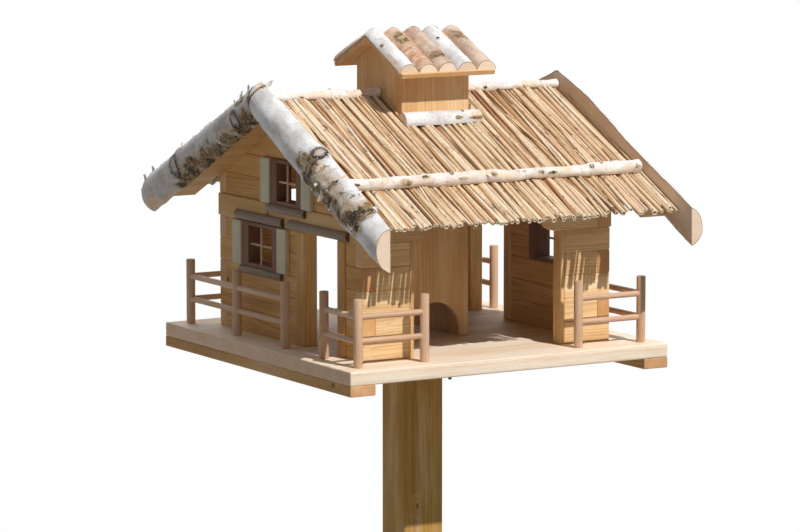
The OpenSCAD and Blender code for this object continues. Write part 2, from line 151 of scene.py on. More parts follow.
def settle(piece: Piece) -> Piece:
    """Puts the piece's place into its mesh, so that its object sits at the origin.

    Args:
        piece: The piece.

    Returns:
        The same piece.
    """
    select_only(piece)
    bpy.ops.object.transform_apply(location=True, rotation=True, scale=True)
    return piece


def finish_modifier(piece: Piece, kind: str, **settings: object) -> None:
    """Adds a modifier with these settings and applies it.

    Args:
        piece: The piece to change.
        kind: The modifier's type.
        settings: Values for the modifier's own properties.
    """
    select_only(piece)
    modifier = piece.modifiers.new(kind.title(), kind)
    for key, value in settings.items():
        setattr(modifier, key, value)
    bpy.ops.object.modifier_apply(modifier=modifier.name)


def cut(piece: Piece, point: Sequence[float], away: Sequence[float]) -> None:
    """Saws the piece at a plane, closes the cut and drops what lies on the far side.

    Args:
        piece: The piece to cut.
        point: A point of the plane.
        away: The direction of what is dropped.
    """
    with edit_mode(piece):
        bpy.ops.mesh.bisect(plane_co=point, plane_no=away, use_fill=True, clear_outer=True)


def copy_of(pattern: Piece, name: str) -> Piece:
    """Copies the pattern, with a mesh of its own.

    Args:
        pattern: The piece to copy.
        name: The copy's name.

    Returns:
        The copy.
    """
    copy = pattern.copy()
    copy.data = pattern.data.copy()
    copy.name = name
    bpy.context.scene.collection.objects.link(copy)
    return copy


def join(pieces: Sequence[Piece], name: str) -> Piece:
    """Joins several pieces into the first one, under a new name.

    Args:
        pieces: The pieces.
        name: The new name.

    Returns:
        The joined piece.
    """
    select_only(*pieces)
    if len(pieces) > 1:
        bpy.ops.object.join()
    whole = bpy.context.object
    whole.name = whole.data.name = name
    return whole


def smooth(piece: Piece, degrees: float = 40) -> None:
    """Shades the piece smooth where its faces meet at less than this angle."""
    select_only(piece)
    bpy.ops.object.shade_smooth_by_angle(angle=math.radians(degrees))


class Patterns:
    """Shapes that are modelled once and then copied for every like piece."""

    made: dict[tuple, Piece] = {}

    @classmethod
    def block(cls, edge: float, steps: int) -> Piece:
        """Models a one-metre block with its edges rounded by edge.

        Args:
            edge: Radius of the rounded edges.
            steps: Faces across each of them.

        Returns:
            The pattern.
        """
        key = ("block", edge, steps)
        if key not in cls.made:
            bpy.ops.mesh.primitive_cube_add(size=1)
            with edit_mode(bpy.context.object):
                bpy.ops.mesh.bevel(offset=edge, segments=steps, affect="EDGES")
            cls.keep(key)
        return cls.made[key]

    @classmethod
    def stalk(cls, kind: int) -> Piece:
        """Models a hollow reed along +Z, one metre long and two across, tip at zero.

        Args:
            kind: A number that sets where the reed's joints are.

        Returns:
            The pattern.
        """
        key = ("stalk", kind)
        if key not in cls.made:
            first, second = 0.22 + 0.11 * kind, 0.62 + 0.07 * kind
            height, size = 0.03, 0.58
            bpy.ops.mesh.primitive_circle_add(vertices=8, radius=size, fill_type="NGON")
            bpy.ops.transform.translate(value=(0, 0, height))
            rings = ((0, 0.62), (0, 0.95), (0.004, 1), (first, 0.99), (first + 0.008, 1.07),
                     (first + 0.02, 0.95), (second, 0.90), (second + 0.008, 0.99), (1, 0.78))
            with edit_mode(bpy.context.object):
                for ring_z, ring_r in rings:
                    bpy.ops.mesh.extrude_region_move(
                        TRANSFORM_OT_translate={"value": (0, 0, ring_z - height)})
                    bpy.ops.transform.resize(value=(ring_r / size, ring_r / size, 1))
                    height, size = ring_z, ring_r
                bpy.ops.mesh.select_all(action="SELECT")
                bpy.ops.mesh.normals_make_consistent(inside=False)
            stalk = settle(bpy.context.object)
            points = points_of(stalk)
            # rim is 1 on the tip's outer edge and -1 on the hollow's inner faces, which the straw
            # finish paints near-black as painted shade inside the hollow.
            hollow = np.hypot(points[:, 0], points[:, 1]) < 0.6
            store(stalk, "rim", np.where(hollow, -1.0, np.where(points[:, 2] < 0.001, 1.0, 0.0)))
            cls.keep(key)
        return cls.made[key]

    @classmethod
    def flake(cls, kind: int) -> Piece:
        """Models a curled scrap of bark, one metre each way, its root at the origin.

        Args:
            kind: A number that sets its ragged outline.

        Returns:
            The pattern.
        """
        key = ("flake", kind)
        if key not in cls.made:
            draw = random.Random(kind)
            bpy.ops.object.select_all(action="DESELECT")
            bpy.ops.mesh.primitive_grid_add(x_subdivisions=5, y_subdivisions=3, size=1)
            sheet = bpy.context.object
            points = points_of(sheet)
            reach = points[:, 0] + 0.5
            bend = draw.uniform(0.7, 2.2)
            ragged = np.array([draw.uniform(0.7, 1) for _ in points])
            points[:, 1] *= (1 - draw.uniform(0.4, 0.95) * reach**1.5) * ragged
            points[:, 0] = np.sin(bend * reach) / bend * ragged
            points[:, 2] = (1 - np.cos(bend * reach)) / bend - 0.03
            move_points(sheet, points)
            finish_modifier(sheet, "SOLIDIFY", thickness=0.05, offset=0)
            cls.keep(key)
        return cls.made[key]

    @classmethod
    def keep(cls, key: tuple) -> None:
        """Settles the new pattern and takes it out of the scene's view.

        Args:
            key: What the pattern is kept under.
        """
        pattern = settle(bpy.context.object)
        bpy.context.scene.collection.objects.unlink(pattern)
        cls.made[key] = pattern


def block(low: Sequence[float], high: Sequence[float], edge: float, steps: int = 2) -> Piece:
    """Copies the rounded block and stretches it between two corners.

    Args:
        low: One corner.
        high: The opposite corner, in any order of each coordinate.
        edge: Radius of the rounded edges.
        steps: Faces across each rounded edge.

    Returns:
        The new block.
    """
    low, high = np.minimum(low, high), np.maximum(low, high)
    piece = copy_of(Patterns.block(edge, steps), "block")
    points = points_of(piece)
    half = (high - low) / 2
    points = (high + low) / 2 + np.sign(points) * (half - 0.5 + np.abs(points))
    move_points(piece, points)
    return piece


def round_edges(piece: Piece, width: float, degrees: float) -> Piece:
    """Rounds the piece's sharp edges.

    Args:
        piece: The piece.
        width: Width of the rounding.
        degrees: The least angle at which the faces of such an edge meet.

    Returns:
        The same piece.
    """
    finish_modifier(piece, "BEVEL", width=width, segments=2, limit_method="ANGLE",
                    angle_limit=math.radians(degrees))
    return piece


def round_bar(start: Vector, end: Vector, radius: float, sides: int, rings: int = 0) -> Piece:
    """Adds a cylinder between two points and divides it along its length.

    Args:
        start: Middle of the first end.
        end: Middle of the last end.
        radius: Radius of the bar.
        sides: Faces round the bar.
        rings: Cuts along the bar.

    Returns:
        The bar, its place already in its mesh.
    """
    run = end - start
    bpy.ops.object.select_all(action="DESELECT")
    bpy.ops.mesh.primitive_cylinder_add(vertices=sides, radius=radius, depth=run.length)
    piece = bpy.context.object
    turned = run.to_track_quat("Z", "Y").to_matrix().to_4x4()
    piece.data.transform(Matrix.Translation((start + end) / 2) @ turned)
    if rings:
        along = run.normalized()
        with edit_mode(piece, "DESELECT"):
            pass
        for edge in piece.data.edges:
            a, b = (piece.data.vertices[i].co for i in edge.vertices)
            edge.select = abs((b - a).normalized().dot(along)) > 0.9
        with edit_mode(piece, "", 1):
            bpy.ops.mesh.subdivide(number_cuts=rings)
    return piece


def dowel(start: Vector, end: Vector, radius: float, chamfer: float) -> Piece:
    """Makes a planed dowel with chamfered ends.

    Args:
        start: Middle of the first end.
        end: Middle of the last end.
        radius: Radius of the dowel.
        chamfer: Width of the chamfer round each end.

    Returns:
        The dowel.
    """
    piece = round_bar(start, end, radius, 24)
    return round_edges(piece, chamfer, 60)


def softened(node: str, name: str, edge: float) -> Piece:
    """Copies a CAD node, merges its triangles into flat faces and rounds its edges.

    Args:
        node: The CAD node's name.
        name: The new piece's name.
        edge: Radius of the rounded edges.

    Returns:
        The new piece.
    """
    piece = copy_of(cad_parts[node], name)
    piece.parent = None
    for key in list(piece.keys()):
        del piece[key]
    with edit_mode(piece):
        bpy.ops.mesh.remove_doubles(threshold=0.00002)
        bpy.ops.mesh.dissolve_limited(angle_limit=math.radians(1))
    return round_edges(piece, edge, 35)


def roughen(piece: Piece, depth: float, size: float, seed: int, direction: str = "NORMAL",
            group: str = "") -> None:
    """Moves the surface in and out by a cloud pattern, or sways the whole piece with it.

    Args:
        piece: The piece to change.
        depth: How far the surface moves between the pattern's lowest and highest value.
        size: Size of the pattern's clouds.
        seed: Shifts the pattern, so that two pieces differ.
        direction: The axis to move along, or NORMAL.
        group: Vertex group that limits the change.
    """
    clouds = bpy.data.textures.new("clouds", "CLOUDS")
    clouds.noise_scale = size
    clouds.noise_depth = 1
    spot = bpy.data.objects.new("cloud_spot", None)
    spot.location = (seed * 1.37, seed * -0.71, seed * 0.43)
    bpy.context.scene.collection.objects.link(spot)
    bpy.context.view_layer.update()
    finish_modifier(piece, "DISPLACE", texture=clouds, strength=depth, mid_level=0.5,
                    texture_coords="OBJECT", texture_coords_object=spot,
                    direction=direction, vertex_group=group)
    bpy.data.objects.remove(spot)
    bpy.data.textures.remove(clouds)


def saw(piece: Piece, along: Vector, across: Vector, draw: random.Random,
        heart: tuple[float, float] = PLANKS, tone: float | None = None) -> Piece:
    """Gives a board its place in the tree, so that its faces and ends show one grain.

    Args:
        piece: The board.
        along: Direction of the grain.
        across: Direction of the board's width.
        draw: Source of the board's own differences.
        heart: Nearest and furthest distance from the middle of the tree.
        tone: Lightness from -1 to 1, or None for a drawn one.

    Returns:
        The same board.
    """
    points = points_of(piece)
    middle = (points.min(0) + points.max(0)) / 2
    axes = np.array([along, across, along.cross(across)])
    local = (points - middle) @ axes.T
    angle, reach = draw.uniform(0.5, math.pi - 0.5), draw.uniform(*heart)
    lean = draw.uniform(-0.03, 0.03), draw.uniform(-0.03, 0.03)
    local[:, 1] += math.cos(angle) * reach + lean[0] * local[:, 0]
    local[:, 2] += math.sin(angle) * reach + lean[1] * local[:, 0]
    local[:, 0] += draw.uniform(0, 9)
    store(piece, "grain", local)
    store(piece, "fibre", np.tile(np.array(along), (len(points), 1)))
    shade = max(-1.0, min(1.0, draw.gauss(0, 0.45))) if tone is None else tone
    store(piece, "tone", np.full(len(points), shade))
    return piece


# -------- finishes


class Nodes:
    """A material's node tree, written as short formulas."""

    def __init__(self, name: str, world: bool = False) -> None:
        """Starts an empty material, or world, of this name.

        Args:
            name: Its name.
            world: Whether it is a world.
        """
        self.material = (bpy.data.worlds if world else bpy.data.materials).new(name)
        self.material.use_nodes = True
        self.tree = self.material.node_tree
        self.tree.nodes.clear()

    def add(self, kind: str, inputs: dict | None = None, **settings: object) -> bpy.types.Node:
        """Adds a node.

        Args:
            kind: The node's type without its ShaderNode prefix.
            inputs: A value or a socket for each input, by name or number.
            settings: Values for the node's own properties.

        Returns:
            The node.
        """
        node = self.tree.nodes.new("ShaderNode" + kind)
        for key, value in settings.items():
            setattr(node, key, value)
        for key, value in (inputs or {}).items():
            if isinstance(value, bpy.types.NodeSocket):
                self.tree.links.new(value, node.inputs[key])
            else:
                node.inputs[key].default_value = value
        return node

    def calc(self, operation: str, *values: object) -> Socket:
        """Returns the result of a Math node on one to three values."""
        return self.add("Math", dict(enumerate(values)), operation=operation).outputs[0]

    def times(self, first: object, second: object) -> Socket:
        """Returns the product of two values."""
        return self.calc("MULTIPLY", first, second)

    def plus(self, first: object, second: object) -> Socket:
        """Returns the sum of two values."""
        return self.calc("ADD", first, second)

    def fit(self, value: object, scale: object, start: object) -> Socket:
        """Returns value times scale plus start."""
        return self.calc("MULTIPLY_ADD", value, scale, start)

    def hypot(self, first: object, second: object) -> Socket:
        """Returns the long side of a right triangle with these two short sides."""
        squares = self.plus(self.calc("POWER", first, 2), self.calc("POWER", second, 2))
        return self.calc("SQRT", squares)

    def chance(self, number: object) -> bpy.types.NodeOutputs:
        """Returns a random value and a random colour for each whole number."""
        return self.add("TexWhiteNoise", {"W": number}, noise_dimensions="1D").outputs

    def axes(self, vector: object) -> bpy.types.NodeOutputs:
        """Returns the vector's x, y and z."""
        return self.add("SeparateXYZ", {0: vector}).outputs

    def seen(self) -> Socket:
        """Tells the rays that see the backdrop from those that light the piece.

        Returns:
            1 for what the camera sees, also by a reflection or through glass, or else 0.
        """
        rays = self.add("LightPath").outputs
        mirrored = self.calc("MAXIMUM", rays["Is Glossy Ray"], rays["Is Transmission Ray"])
        return self.calc("MAXIMUM", rays["Is Camera Ray"], mirrored)

    def attribute(self, name: str, output: str = "Vector") -> Socket:
        """Returns one output of a named mesh attribute."""
        return self.add("Attribute", attribute_name=name).outputs[output]

    def mask(self, name: str) -> Socket:
        """Returns a named mesh attribute as one number."""
        return self.attribute(name, "Fac")

    def noise(self, place: object, size: Sequence[float], detail: float = 2, rough: float = 0.5,
              shift: Sequence[float] = (0, 0, 0), warp: float = 0) -> Socket:
        """Makes a cloud pattern from 0 to 1.

        Args:
            place: Where the pattern is read.
            size: Clouds in one metre on each axis.
            detail: How many finer patterns are added.
            rough: How strong they are.
            shift: Moves the pattern.
            warp: How far it is twisted.

        Returns:
            The pattern.
        """
        spot = self.add("Mapping", {"Vector": place, "Scale": size, "Location": shift}).outputs[0]
        inputs = {"Vector": spot, "Scale": 1, "Detail": detail, "Roughness": rough,
                  "Distortion": warp}
        return self.add("TexNoise", inputs).outputs[0]

    def step(self, value: object, low: float, high: float) -> Socket:
        """Returns 0 below low and 1 above high, with a soft change between them."""
        inputs = {"Value": value, "From Min": low, "From Max": high}
        return self.add("MapRange", inputs, interpolation_type="SMOOTHSTEP").outputs[0]

    def mix(self, share: object, first: object, second: object, blend: str = "MIX") -> Socket:
        """Returns the first colour changed towards the second by share."""
        inputs = {0: share, 6: first, 7: second}
        return self.add("Mix", inputs, data_type="RGBA", blend_type=blend).outputs[2]

    def coat(self, colour: object, code: str, mask: object, share: float = 1,
             blend: str = "MIX") -> Socket:
        """Returns the colour changed by share towards a colour code where the mask is 1."""
        return self.mix(self.times(mask, share), colour, tint(code), blend)

    def ramp(self, value: object, *stops: tuple[float, str]) -> Socket:
        """Blends colours along a scale.

        Args:
            value: Place on the scale.
            stops: A place and a colour code each.

        Returns:
            The colour at value.
        """
        node = self.add("ValToRGB", {0: value})
        bar = node.color_ramp.elements
        for place, _ in stops[2:]:
            bar.new(place)
        for mark, (place, code) in zip(bar, stops):
            mark.position, mark.color = place, tint(code)
        return node.outputs[0]

    def surface(self, colour: object, rough: object, height: object = None,
                relief: float = 0.0003, **constants: float) -> bpy.types.Material:
        """Closes the tree with a Principled shader.

        Args:
            colour: Base colour.
            rough: Roughness.
            height: Relief pattern from 0 to 1, or None.
            relief: Depth of that pattern in metres.
            constants: Values for the shader's other sockets, spaces as underscores.

        Returns:
            The finished material.
        """
        inputs = {"Base Color": colour, "Roughness": rough}
        inputs |= {key.replace("_", " "): value for key, value in constants.items()}
        if height is not None:
            bump = self.add("Bump", {"Height": height, "Distance": relief, "Strength": 1})
            inputs["Normal"] = bump.outputs[0]
        shader = self.add("BsdfPrincipled", inputs)
        self.add("OutputMaterial", {0: shader.outputs[0]})
        return self.material


class Source(Enum):
    """Where a timber finish reads its grain from."""

    PIECE = "the piece's own grain"
    PLACE = "its place, with the grain along X"


@dataclass(frozen=True)
class Timber:
    """Sawn wood with yearly rings that run through the whole board."""

    name: str
    early: str
    late: str
    ring: float = 0.0031
    contrast: float = 0.6
    spread: float = 0.16
    knots: float = 0.08
    knot_tint: str = "7A4A26"
    pale: str = "F3E2C2"
    end_tint: str = "D9A77E"
    end_share: float = 0.45
    rough: float = 0.55
    source: Source = Source.PIECE
    stave: float = 0.0

    def make(self) -> bpy.types.Material:
        """Builds the material.

        Returns:
            The material.
        """
        n = Nodes(self.name)
        place = self.grain_place(n)
        late, knot = self.grow(n, place)
        fibre = n.noise(place, (16, 760, 760), 3, 0.7)
        pores = n.noise(place, (55, 1900, 1900), 1)
        wide = n.noise(place, (4, 34, 34), 3)
        colour = n.coat(tint(self.early), self.late, late, self.contrast)
        colour = n.coat(colour, self.late, n.step(wide, 0.35, 0.75), 0.4)
        colour = n.coat(colour, self.late, n.step(fibre, 0.42, 0.72), 0.34, "MULTIPLY")
        colour = n.coat(colour, self.knot_tint, n.step(pores, 0.62, 0.74), 0.3)
        colour = n.coat(colour, self.pale, n.step(wide, 0.5, 0.25), 0.35)
        colour = self.shade_ends(n, colour)
        light = n.fit(n.mask("tone"), self.spread, 1)
        warmth = {0: light, 1: n.calc("POWER", light, 1.25), 2: n.calc("POWER", light, 1.7)}
        colour = n.mix(1, colour, n.add("CombineColor", warmth).outputs[0], "MULTIPLY")
        colour = n.coat(colour, self.knot_tint, knot, 0.85)
        height = n.fit(fibre, 0.5, n.times(late, 0.5))
        return n.surface(colour, n.fit(fibre, 0.15, self.rough), height, 0.0004,
                         Specular_IOR_Level=0.3)

    def grow(self, n: Nodes, place: object) -> tuple[Socket, Socket]:
        """Draws the yearly rings, which bend round the knots.

        Args:
            n: The material's node tree.
            place: Place in the tree.

        Returns:
            The masks of the dark late wood and of the knots.
        """
        axis = n.axes(place)
        angle = n.calc("ARCTAN2", axis[2], axis[1])
        spot = n.add("CombineXYZ", {0: n.times(axis[0], 14), 1: n.times(angle, 0.8)}).outputs[0]
        cells = n.add("TexVoronoi", {"Vector": spot, "Scale": 1}, voronoi_dimensions="2D").outputs
        share = n.add("SeparateColor", {0: cells["Color"]}).outputs[0]
        chosen = n.calc("GREATER_THAN", share, 1 - self.knots)
        near = n.times(chosen, n.step(cells["Distance"], 0.4, 0.05))
        knot = n.times(chosen, n.step(cells["Distance"], 0.085, 0.06))
        sway = n.times(n.noise(place, (2.2, 16, 16), 3), 0.009)
        grown = n.plus(n.plus(n.hypot(axis[1], axis[2]), sway), n.times(near, 0.006))
        rings = n.calc("DIVIDE", grown, self.ring)
        year = n.fit(n.chance(n.calc("FLOOR", rings))[0], 0.7, 0.3)
        return n.times(n.calc("POWER", n.calc("FRACT", rings), 2.2), year), knot

    def shade_ends(self, n: Nodes, colour: object) -> Socket:
        """Tints the faces that are cut across the grain.

        Args:
            n: The material's node tree.
            colour: The wood's colour.

        Returns:
            The new colour.
        """
        sides = {0: n.add("NewGeometry").outputs["True Normal"], 1: n.attribute("fibre")}
        facing = n.add("VectorMath", sides, operation="DOT_PRODUCT").outputs["Value"]
        end = n.step(n.calc("ABSOLUTE", facing), 0.75, 0.9)
        return n.coat(colour, self.end_tint, end, self.end_share)

    def grain_place(self, n: Nodes) -> Socket:
        """Finds the place in the tree; each glued stave has one of its own.

        Args:
            n: The material's node tree.

        Returns:
            The place, with the grain along x.
        """
        place = n.attribute("grain")
        if self.source is Source.PLACE:
            inputs = {"Vector": n.add("TexCoord").outputs["Object"], "Location": (3, 0.02, 0.3)}
            place = n.add("Mapping", inputs).outputs[0]
        if not self.stave:
            return place
        number = n.calc("FLOOR", n.calc("DIVIDE", n.axes(place)[1], self.stave))
        jump = n.add("VectorMath", {0: n.chance(number)["Color"], 1: (5.0, 0.05, 0.06)},
                     operation="MULTIPLY")
        return n.add("VectorMath", {0: place, 1: jump.outputs[0]}).outputs[0]


@dataclass(frozen=True)
class Bark:
    """Birch bark: pale papery skin with dashes, eyes of old knots, worn and peeled parts."""

    name: str
    skin: str = "F1F2F4"
    shade: str = "D1CECF"
    under: str = "DEC3A8"
    peel: float = 0.2
    scars: float = 0.1
    dashes: float = 0.4

    def make(self) -> bpy.types.Material:
        """Builds the material.

        Returns:
            The material.
        """
        n = Nodes(self.name)
        place = n.attribute("bark")
        fine = n.noise(place, (330, 240, 90), 4, 0.65)
        cloud = n.noise(place, (20, 26, 10), 5, 0.62)
        skin = n.coat(tint(self.skin), self.shade, n.step(cloud, 0.40, 0.64))
        skin = n.coat(skin, "A79A94", n.step(fine, 0.52, 0.72), 0.4)
        skin = n.coat(skin, "F7F5F3", n.step(fine, 0.45, 0.25), 0.6)
        edge = 0.80 - self.dashes * 0.25
        dash = n.step(n.noise(place, (640, 80, 40), 1, 0.4), edge, edge + 0.06)
        skin = n.coat(skin, "7C6455", dash, 0.6)
        colour, height = self.peel_off(n, place, skin)
        colour, moss = self.grow_moss(n, place, fine, colour)
        colour, ring = self.draw_eye(n, place, colour)
        for mask, rise in ((fine, 0.35), (dash, -0.2), (moss, n.times(fine, 1.2)), (ring, -0.8)):
            height = n.fit(mask, rise, height)
        return n.surface(colour, n.fit(moss, 0.3, 0.48), height, 0.0012,
                         Specular_IOR_Level=0.35)

    def peel_off(self, n: Nodes, place: object, skin: object) -> tuple[Socket, Socket]:
        """Takes the white skin off in ragged patches with a pale curled rim.

        Args:
            n: The material's node tree.
            place: Place on the bark.
            skin: Colour of the whole skin.

        Returns:
            The new colour and the relief.
        """
        ragged = n.noise(place, (38, 24, 8), 7, 0.74, (4, 1, 0), 0.3)
        ragged = n.fit(n.mask("bare"), 0.34, ragged)
        low = 0.78 - self.peel * 0.4
        peeled = n.step(ragged, low, low + 0.07)
        rim = n.times(n.step(ragged, low - 0.05, low), n.step(ragged, low + 0.03, low))
        strips = n.noise(place, (170, 60, 10), 6, 0.72)
        under = n.ramp(strips, (0.24, "A98263"), (0.44, self.under), (0.72, "F1E5D6"))
        colour = n.coat(n.mix(peeled, skin, under), "FBF8F4", rim, 0.35)
        return colour, n.times(n.plus(n.calc("SUBTRACT", rim, peeled), strips), 0.15)

    def grow_moss(self, n: Nodes, place: object, fine: object,
                  colour: object) -> tuple[Socket, Socket]:
        """Covers the worn places with olive lichen and near-black rough bark.

        Args:
            n: The material's node tree.
            place: Place on the bark.
            fine: The bark's own fine pattern.
            colour: Colour of the bark below.

        Returns:
            The new colour and the moss's mask.
        """
        wear = n.mask("wear")
        low = 0.74 - self.scars * 0.3
        patch = n.noise(place, (64, 46, 8), 7, 0.74, (1, 7, 3))
        moss = n.step(n.fit(wear, 0.30, patch), low, low + 0.10)
        stain = n.noise(place, (30, 34, 12), 6, 0.7, (2, 2, 2))
        stain = n.step(n.fit(wear, 0.42, stain), low - 0.02, low + 0.16)
        tan = n.ramp(fine, (0.35, "8F7048"), (0.50, "BCA077"), (0.66, "DECEB0"))
        colour = n.mix(n.times(stain, 0.75), colour, tan)
        grain = n.noise(place, (420, 300, 90), 4, 0.7, (5, 0, 2))
        lichen = n.ramp(grain, (0.32, "281B10"), (0.42, "5A4224"), (0.53, "937548"),
                        (0.66, "D8C6A2"))
        colour = n.mix(n.times(moss, 0.9), colour, lichen)
        dark = n.fit(wear, 0.16, n.noise(place, (75, 50, 20), 6, 0.7, (3, 3, 1)))
        black = n.times(n.step(dark, 0.63, 0.71), moss)
        return n.coat(colour, "19130D", black, 0.92), moss

    def draw_eye(self, n: Nodes, place: object, colour: object) -> tuple[Socket, Socket]:
        """Draws the grey heart and the black ring of each old knot.

        Args:
            n: The material's node tree.
            place: Place on the bark.
            colour: Colour of the bark around it.

        Returns:
            The new colour and the ring's mask.
        """
        axis = n.axes(n.attribute("eye"))
        ragged = n.noise(place, (210, 190, 60), 6, 0.7)
        away = n.fit(n.calc("SUBTRACT", ragged, 0.5), 2.2, n.hypot(axis[0], axis[1]))
        heart = n.times(axis[2], n.step(away, 0.85, 0.7))
        ring = n.times(n.step(away, 0.62, 0.85), n.step(away, 1.35, 1.0))
        ring = n.times(axis[2], n.times(ring, n.step(ragged, 0.28, 0.40)))
        halo = n.times(axis[2], n.step(away, 2.3, 0.9))
        colour = n.coat(colour, "8A7058", halo, 0.5)
        colour = n.mix(heart, colour, n.ramp(ragged, (0.36, "9C8474"), (0.6, "DDD2CA")))
        return n.coat(colour, "20160F", ring), ring


@dataclass(frozen=True)
class Straw:
    """Dry reed stalks, each in its own tone, with darker joints and grey sheaths; the lower
    layers' low tones and the hollows' dark insides are painted shade.
    """

    name: str

    def make(self) -> bpy.types.Material:
        """Builds the material.

        Returns:
            The material.
        """
        n = Nodes(self.name)
        place, tone, rim = n.attribute("grain"), n.mask("tone"), n.mask("rim")
        # The ramp's dark low end mostly colours the lower layers, as painted shade in the gaps
        # between the top reeds.
        base = n.ramp(tone, (0, "7E5636"), (0.12, "B58A62"), (0.28, "DDBC90"), (0.50, "EFDAB8"),
                      (0.80, "FAEFDA"), (1, "EDD0B2"))
        streak = n.noise(place, (11, 520, 520), 4, 0.7)
        patch = n.noise(place, (13, 60, 60), 4, 0.6)
        speck = n.noise(place, (120, 300, 300), 3, 0.6, (2, 0, 5))
        speck = n.fit(n.step(patch, 0.5, 0.7), 0.10, speck)
        wave = n.fit(streak, 0.006, n.fit(tone, 0.4, n.axes(place)[0]))
        joint = n.step(n.calc("PINGPONG", wave, 0.085), 0.0018, 0.0006)
        part = n.chance(n.calc("FLOOR", n.calc("DIVIDE", wave, 0.17)))[0]
        base = n.coat(base, "A97B57", n.step(streak, 0.45, 0.71), 0.68, "MULTIPLY")
        base = n.coat(base, "F6E8D2", n.step(streak, 0.46, 0.28), 0.45)
        base = n.coat(base, "A0704C", n.step(patch, 0.56, 0.69), 0.6)
        base = n.coat(base, "4E3020", n.step(speck, 0.635, 0.70), 0.8)
        base = n.coat(base, "7A5433", joint, 0.25)
        base = n.coat(base, "CCA67A", part, 0.28, "MULTIPLY")
        base = n.coat(base, "F6E6CC", n.step(rim, 0.3, 0.9))
        # Painted shade: the hollow's inner faces, where rim is below zero, are painted near-black
        # brown.
        base = n.coat(base, "2A1B10", n.step(rim, -0.05, -0.4))
        return n.surface(base, 0.5, streak, 0.0004, Specular_IOR_Level=0.35)


@dataclass(frozen=True)
class Metal:
    """Dull dark zinc on the fixing bolt."""

    name: str

    def make(self) -> bpy.types.Material:
        """Builds the material.

        Returns:
            The material.
        """
        n = Nodes(self.name)
        cloud = n.noise(n.add("TexCoord").outputs["Object"], (500, 500, 500), 3)
        colour = n.ramp(cloud, (0.3, "3A3A3C"), (0.7, "6A6866"))
        return n.surface(colour, n.fit(cloud, 0.3, 0.3), cloud, 0.0001, Metallic=0.9)


Look = Timber | Bark | Straw | Metal


class Finish:
    """The finishes in use, each built once."""

    # The plank finish is darker and more saturated, partly as painted shade for the gables. The
    # wall plank finish below is a paler copy of the same wood, as painted sunlight for the front
    # and back walls.
    PLANK = Timber("plank", "E8BC78", "A96A2C", ring=0.0026, contrast=0.66, spread=0.13, knots=0.1)
    PAINTED_SUNLIT_PLANK = Timber("wall_plank", "F3D6A4", "C08646", ring=0.0030, contrast=0.6, spread=0.12,
                   knots=0.1, pale="FBEBD0", end_tint="DDA988")
    BEAM = Timber("planed_beam", "EBC68E", "BF8A4A", contrast=0.5, spread=0.1, knots=0.04)
    PALE = Timber("spruce_board", "F3D09E", "C98D4E", contrast=0.6, spread=0.06, knots=0.05)
    PANEL = Timber("base_panel", "FAEEDD", "E2B98A", ring=0.009, contrast=0.55, spread=0.05,
                   knots=0.07, stave=0.098, pale="FCF4E6")
    POST = Timber("post_pine", "C4994E", "87602A", ring=0.0042, contrast=0.6, spread=0.05,
                  knots=0.1)
    BATTEN = Timber("batten_pine", "D0A268", "96632F", contrast=0.7, spread=0.1, knots=0.05)
    DOWEL = Timber("dowel_beech", "E0BEA0", "C39A7A", ring=0.0022, contrast=0.35, spread=0.10,
                   knots=0.0, rough=0.5, pale="EED6C2")
    STRIP = Timber("weathered_strip", "A08D7E", "776658", ring=0.0022, contrast=0.4, spread=0.14,
                   knots=0.0, pale="C8B7A4", end_tint="4A3020", end_share=0.8)
    FRAME = Timber("window_wood", "855E48", "583A2A", contrast=0.5, spread=0.12, knots=0.0,
                   pale="96745E")
    BAR = Timber("window_bars", "E3C8A8", "B99470", contrast=0.4, spread=0.1, knots=0.0)
    SHUTTER = Timber("shutter_wash", "E4E0CA", "C2BB9E", contrast=0.5, spread=0.06, knots=0.03,
                     pale="EEEBDD", end_tint="D8D0B4")
    DECK = Timber("roof_boards", "D8B377", "A87C42", source=Source.PLACE, stave=0.09)
    # Sawn birch is pale cream. This finish is paler still, as painted light for the light bounced
    # from the reeds onto the shaded sawn faces.
    CUT = Timber("cut_log", "F7E3CF", "DEBB9C", ring=0.0024, contrast=0.5, spread=0.08, knots=0.0,
                 rough=0.65, end_share=0.0)
    RIM = Timber("bark_edge", "B59478", "7C5C44", ring=0.0015, spread=0.1, knots=0.0,
                 pale="D2BAA2", rough=0.7, end_share=0.0)
    WHITE_BARK = Bark("birch_white")
    OLD_BARK = Bark("birch_old", skin="DCD9D7", shade="AAA29C", peel=0.25, scars=0.24)
    STICK_BARK = Bark("birch_twig", skin="FBF6F1", shade="E8DCD4", under="F0DAC4", peel=0.24,
                      scars=0.22, dashes=0.55)
    RED_BARK = Bark("birch_red", skin="DDB89C", shade="B88E70", under="C08A62", peel=0.42,
                    scars=0.36, dashes=0.5)
    TAN_BARK = Bark("birch_tan", skin="DCC3B0", shade="B3927C", under="CDA98B", peel=0.3,
                    scars=0.3, dashes=0.45)
    STRAW = Straw("reed_straw")
    ZINC = Metal("zinc_bolt")
    built: dict[str, bpy.types.Material] = {}

    @classmethod
    def get(cls, finish: Look) -> bpy.types.Material:
        """Finds the finish's material, or builds it at its first use.

        Args:
            finish: The finish.

        Returns:
            The material.
        """
        if finish.name not in cls.built:
            cls.built[finish.name] = finish.make()
        return cls.built[finish.name]


def paint(piece: Piece, *finishes: Look) -> Piece:
    """Gives the piece these finishes in place of its own, the first one all over.

    Args:
        piece: The piece.
        finishes: The finishes.

    Returns:
        The same piece.
    """
    piece.data.materials.clear()
    for finish in finishes:
        piece.data.materials.append(Finish.get(finish))
    return piece


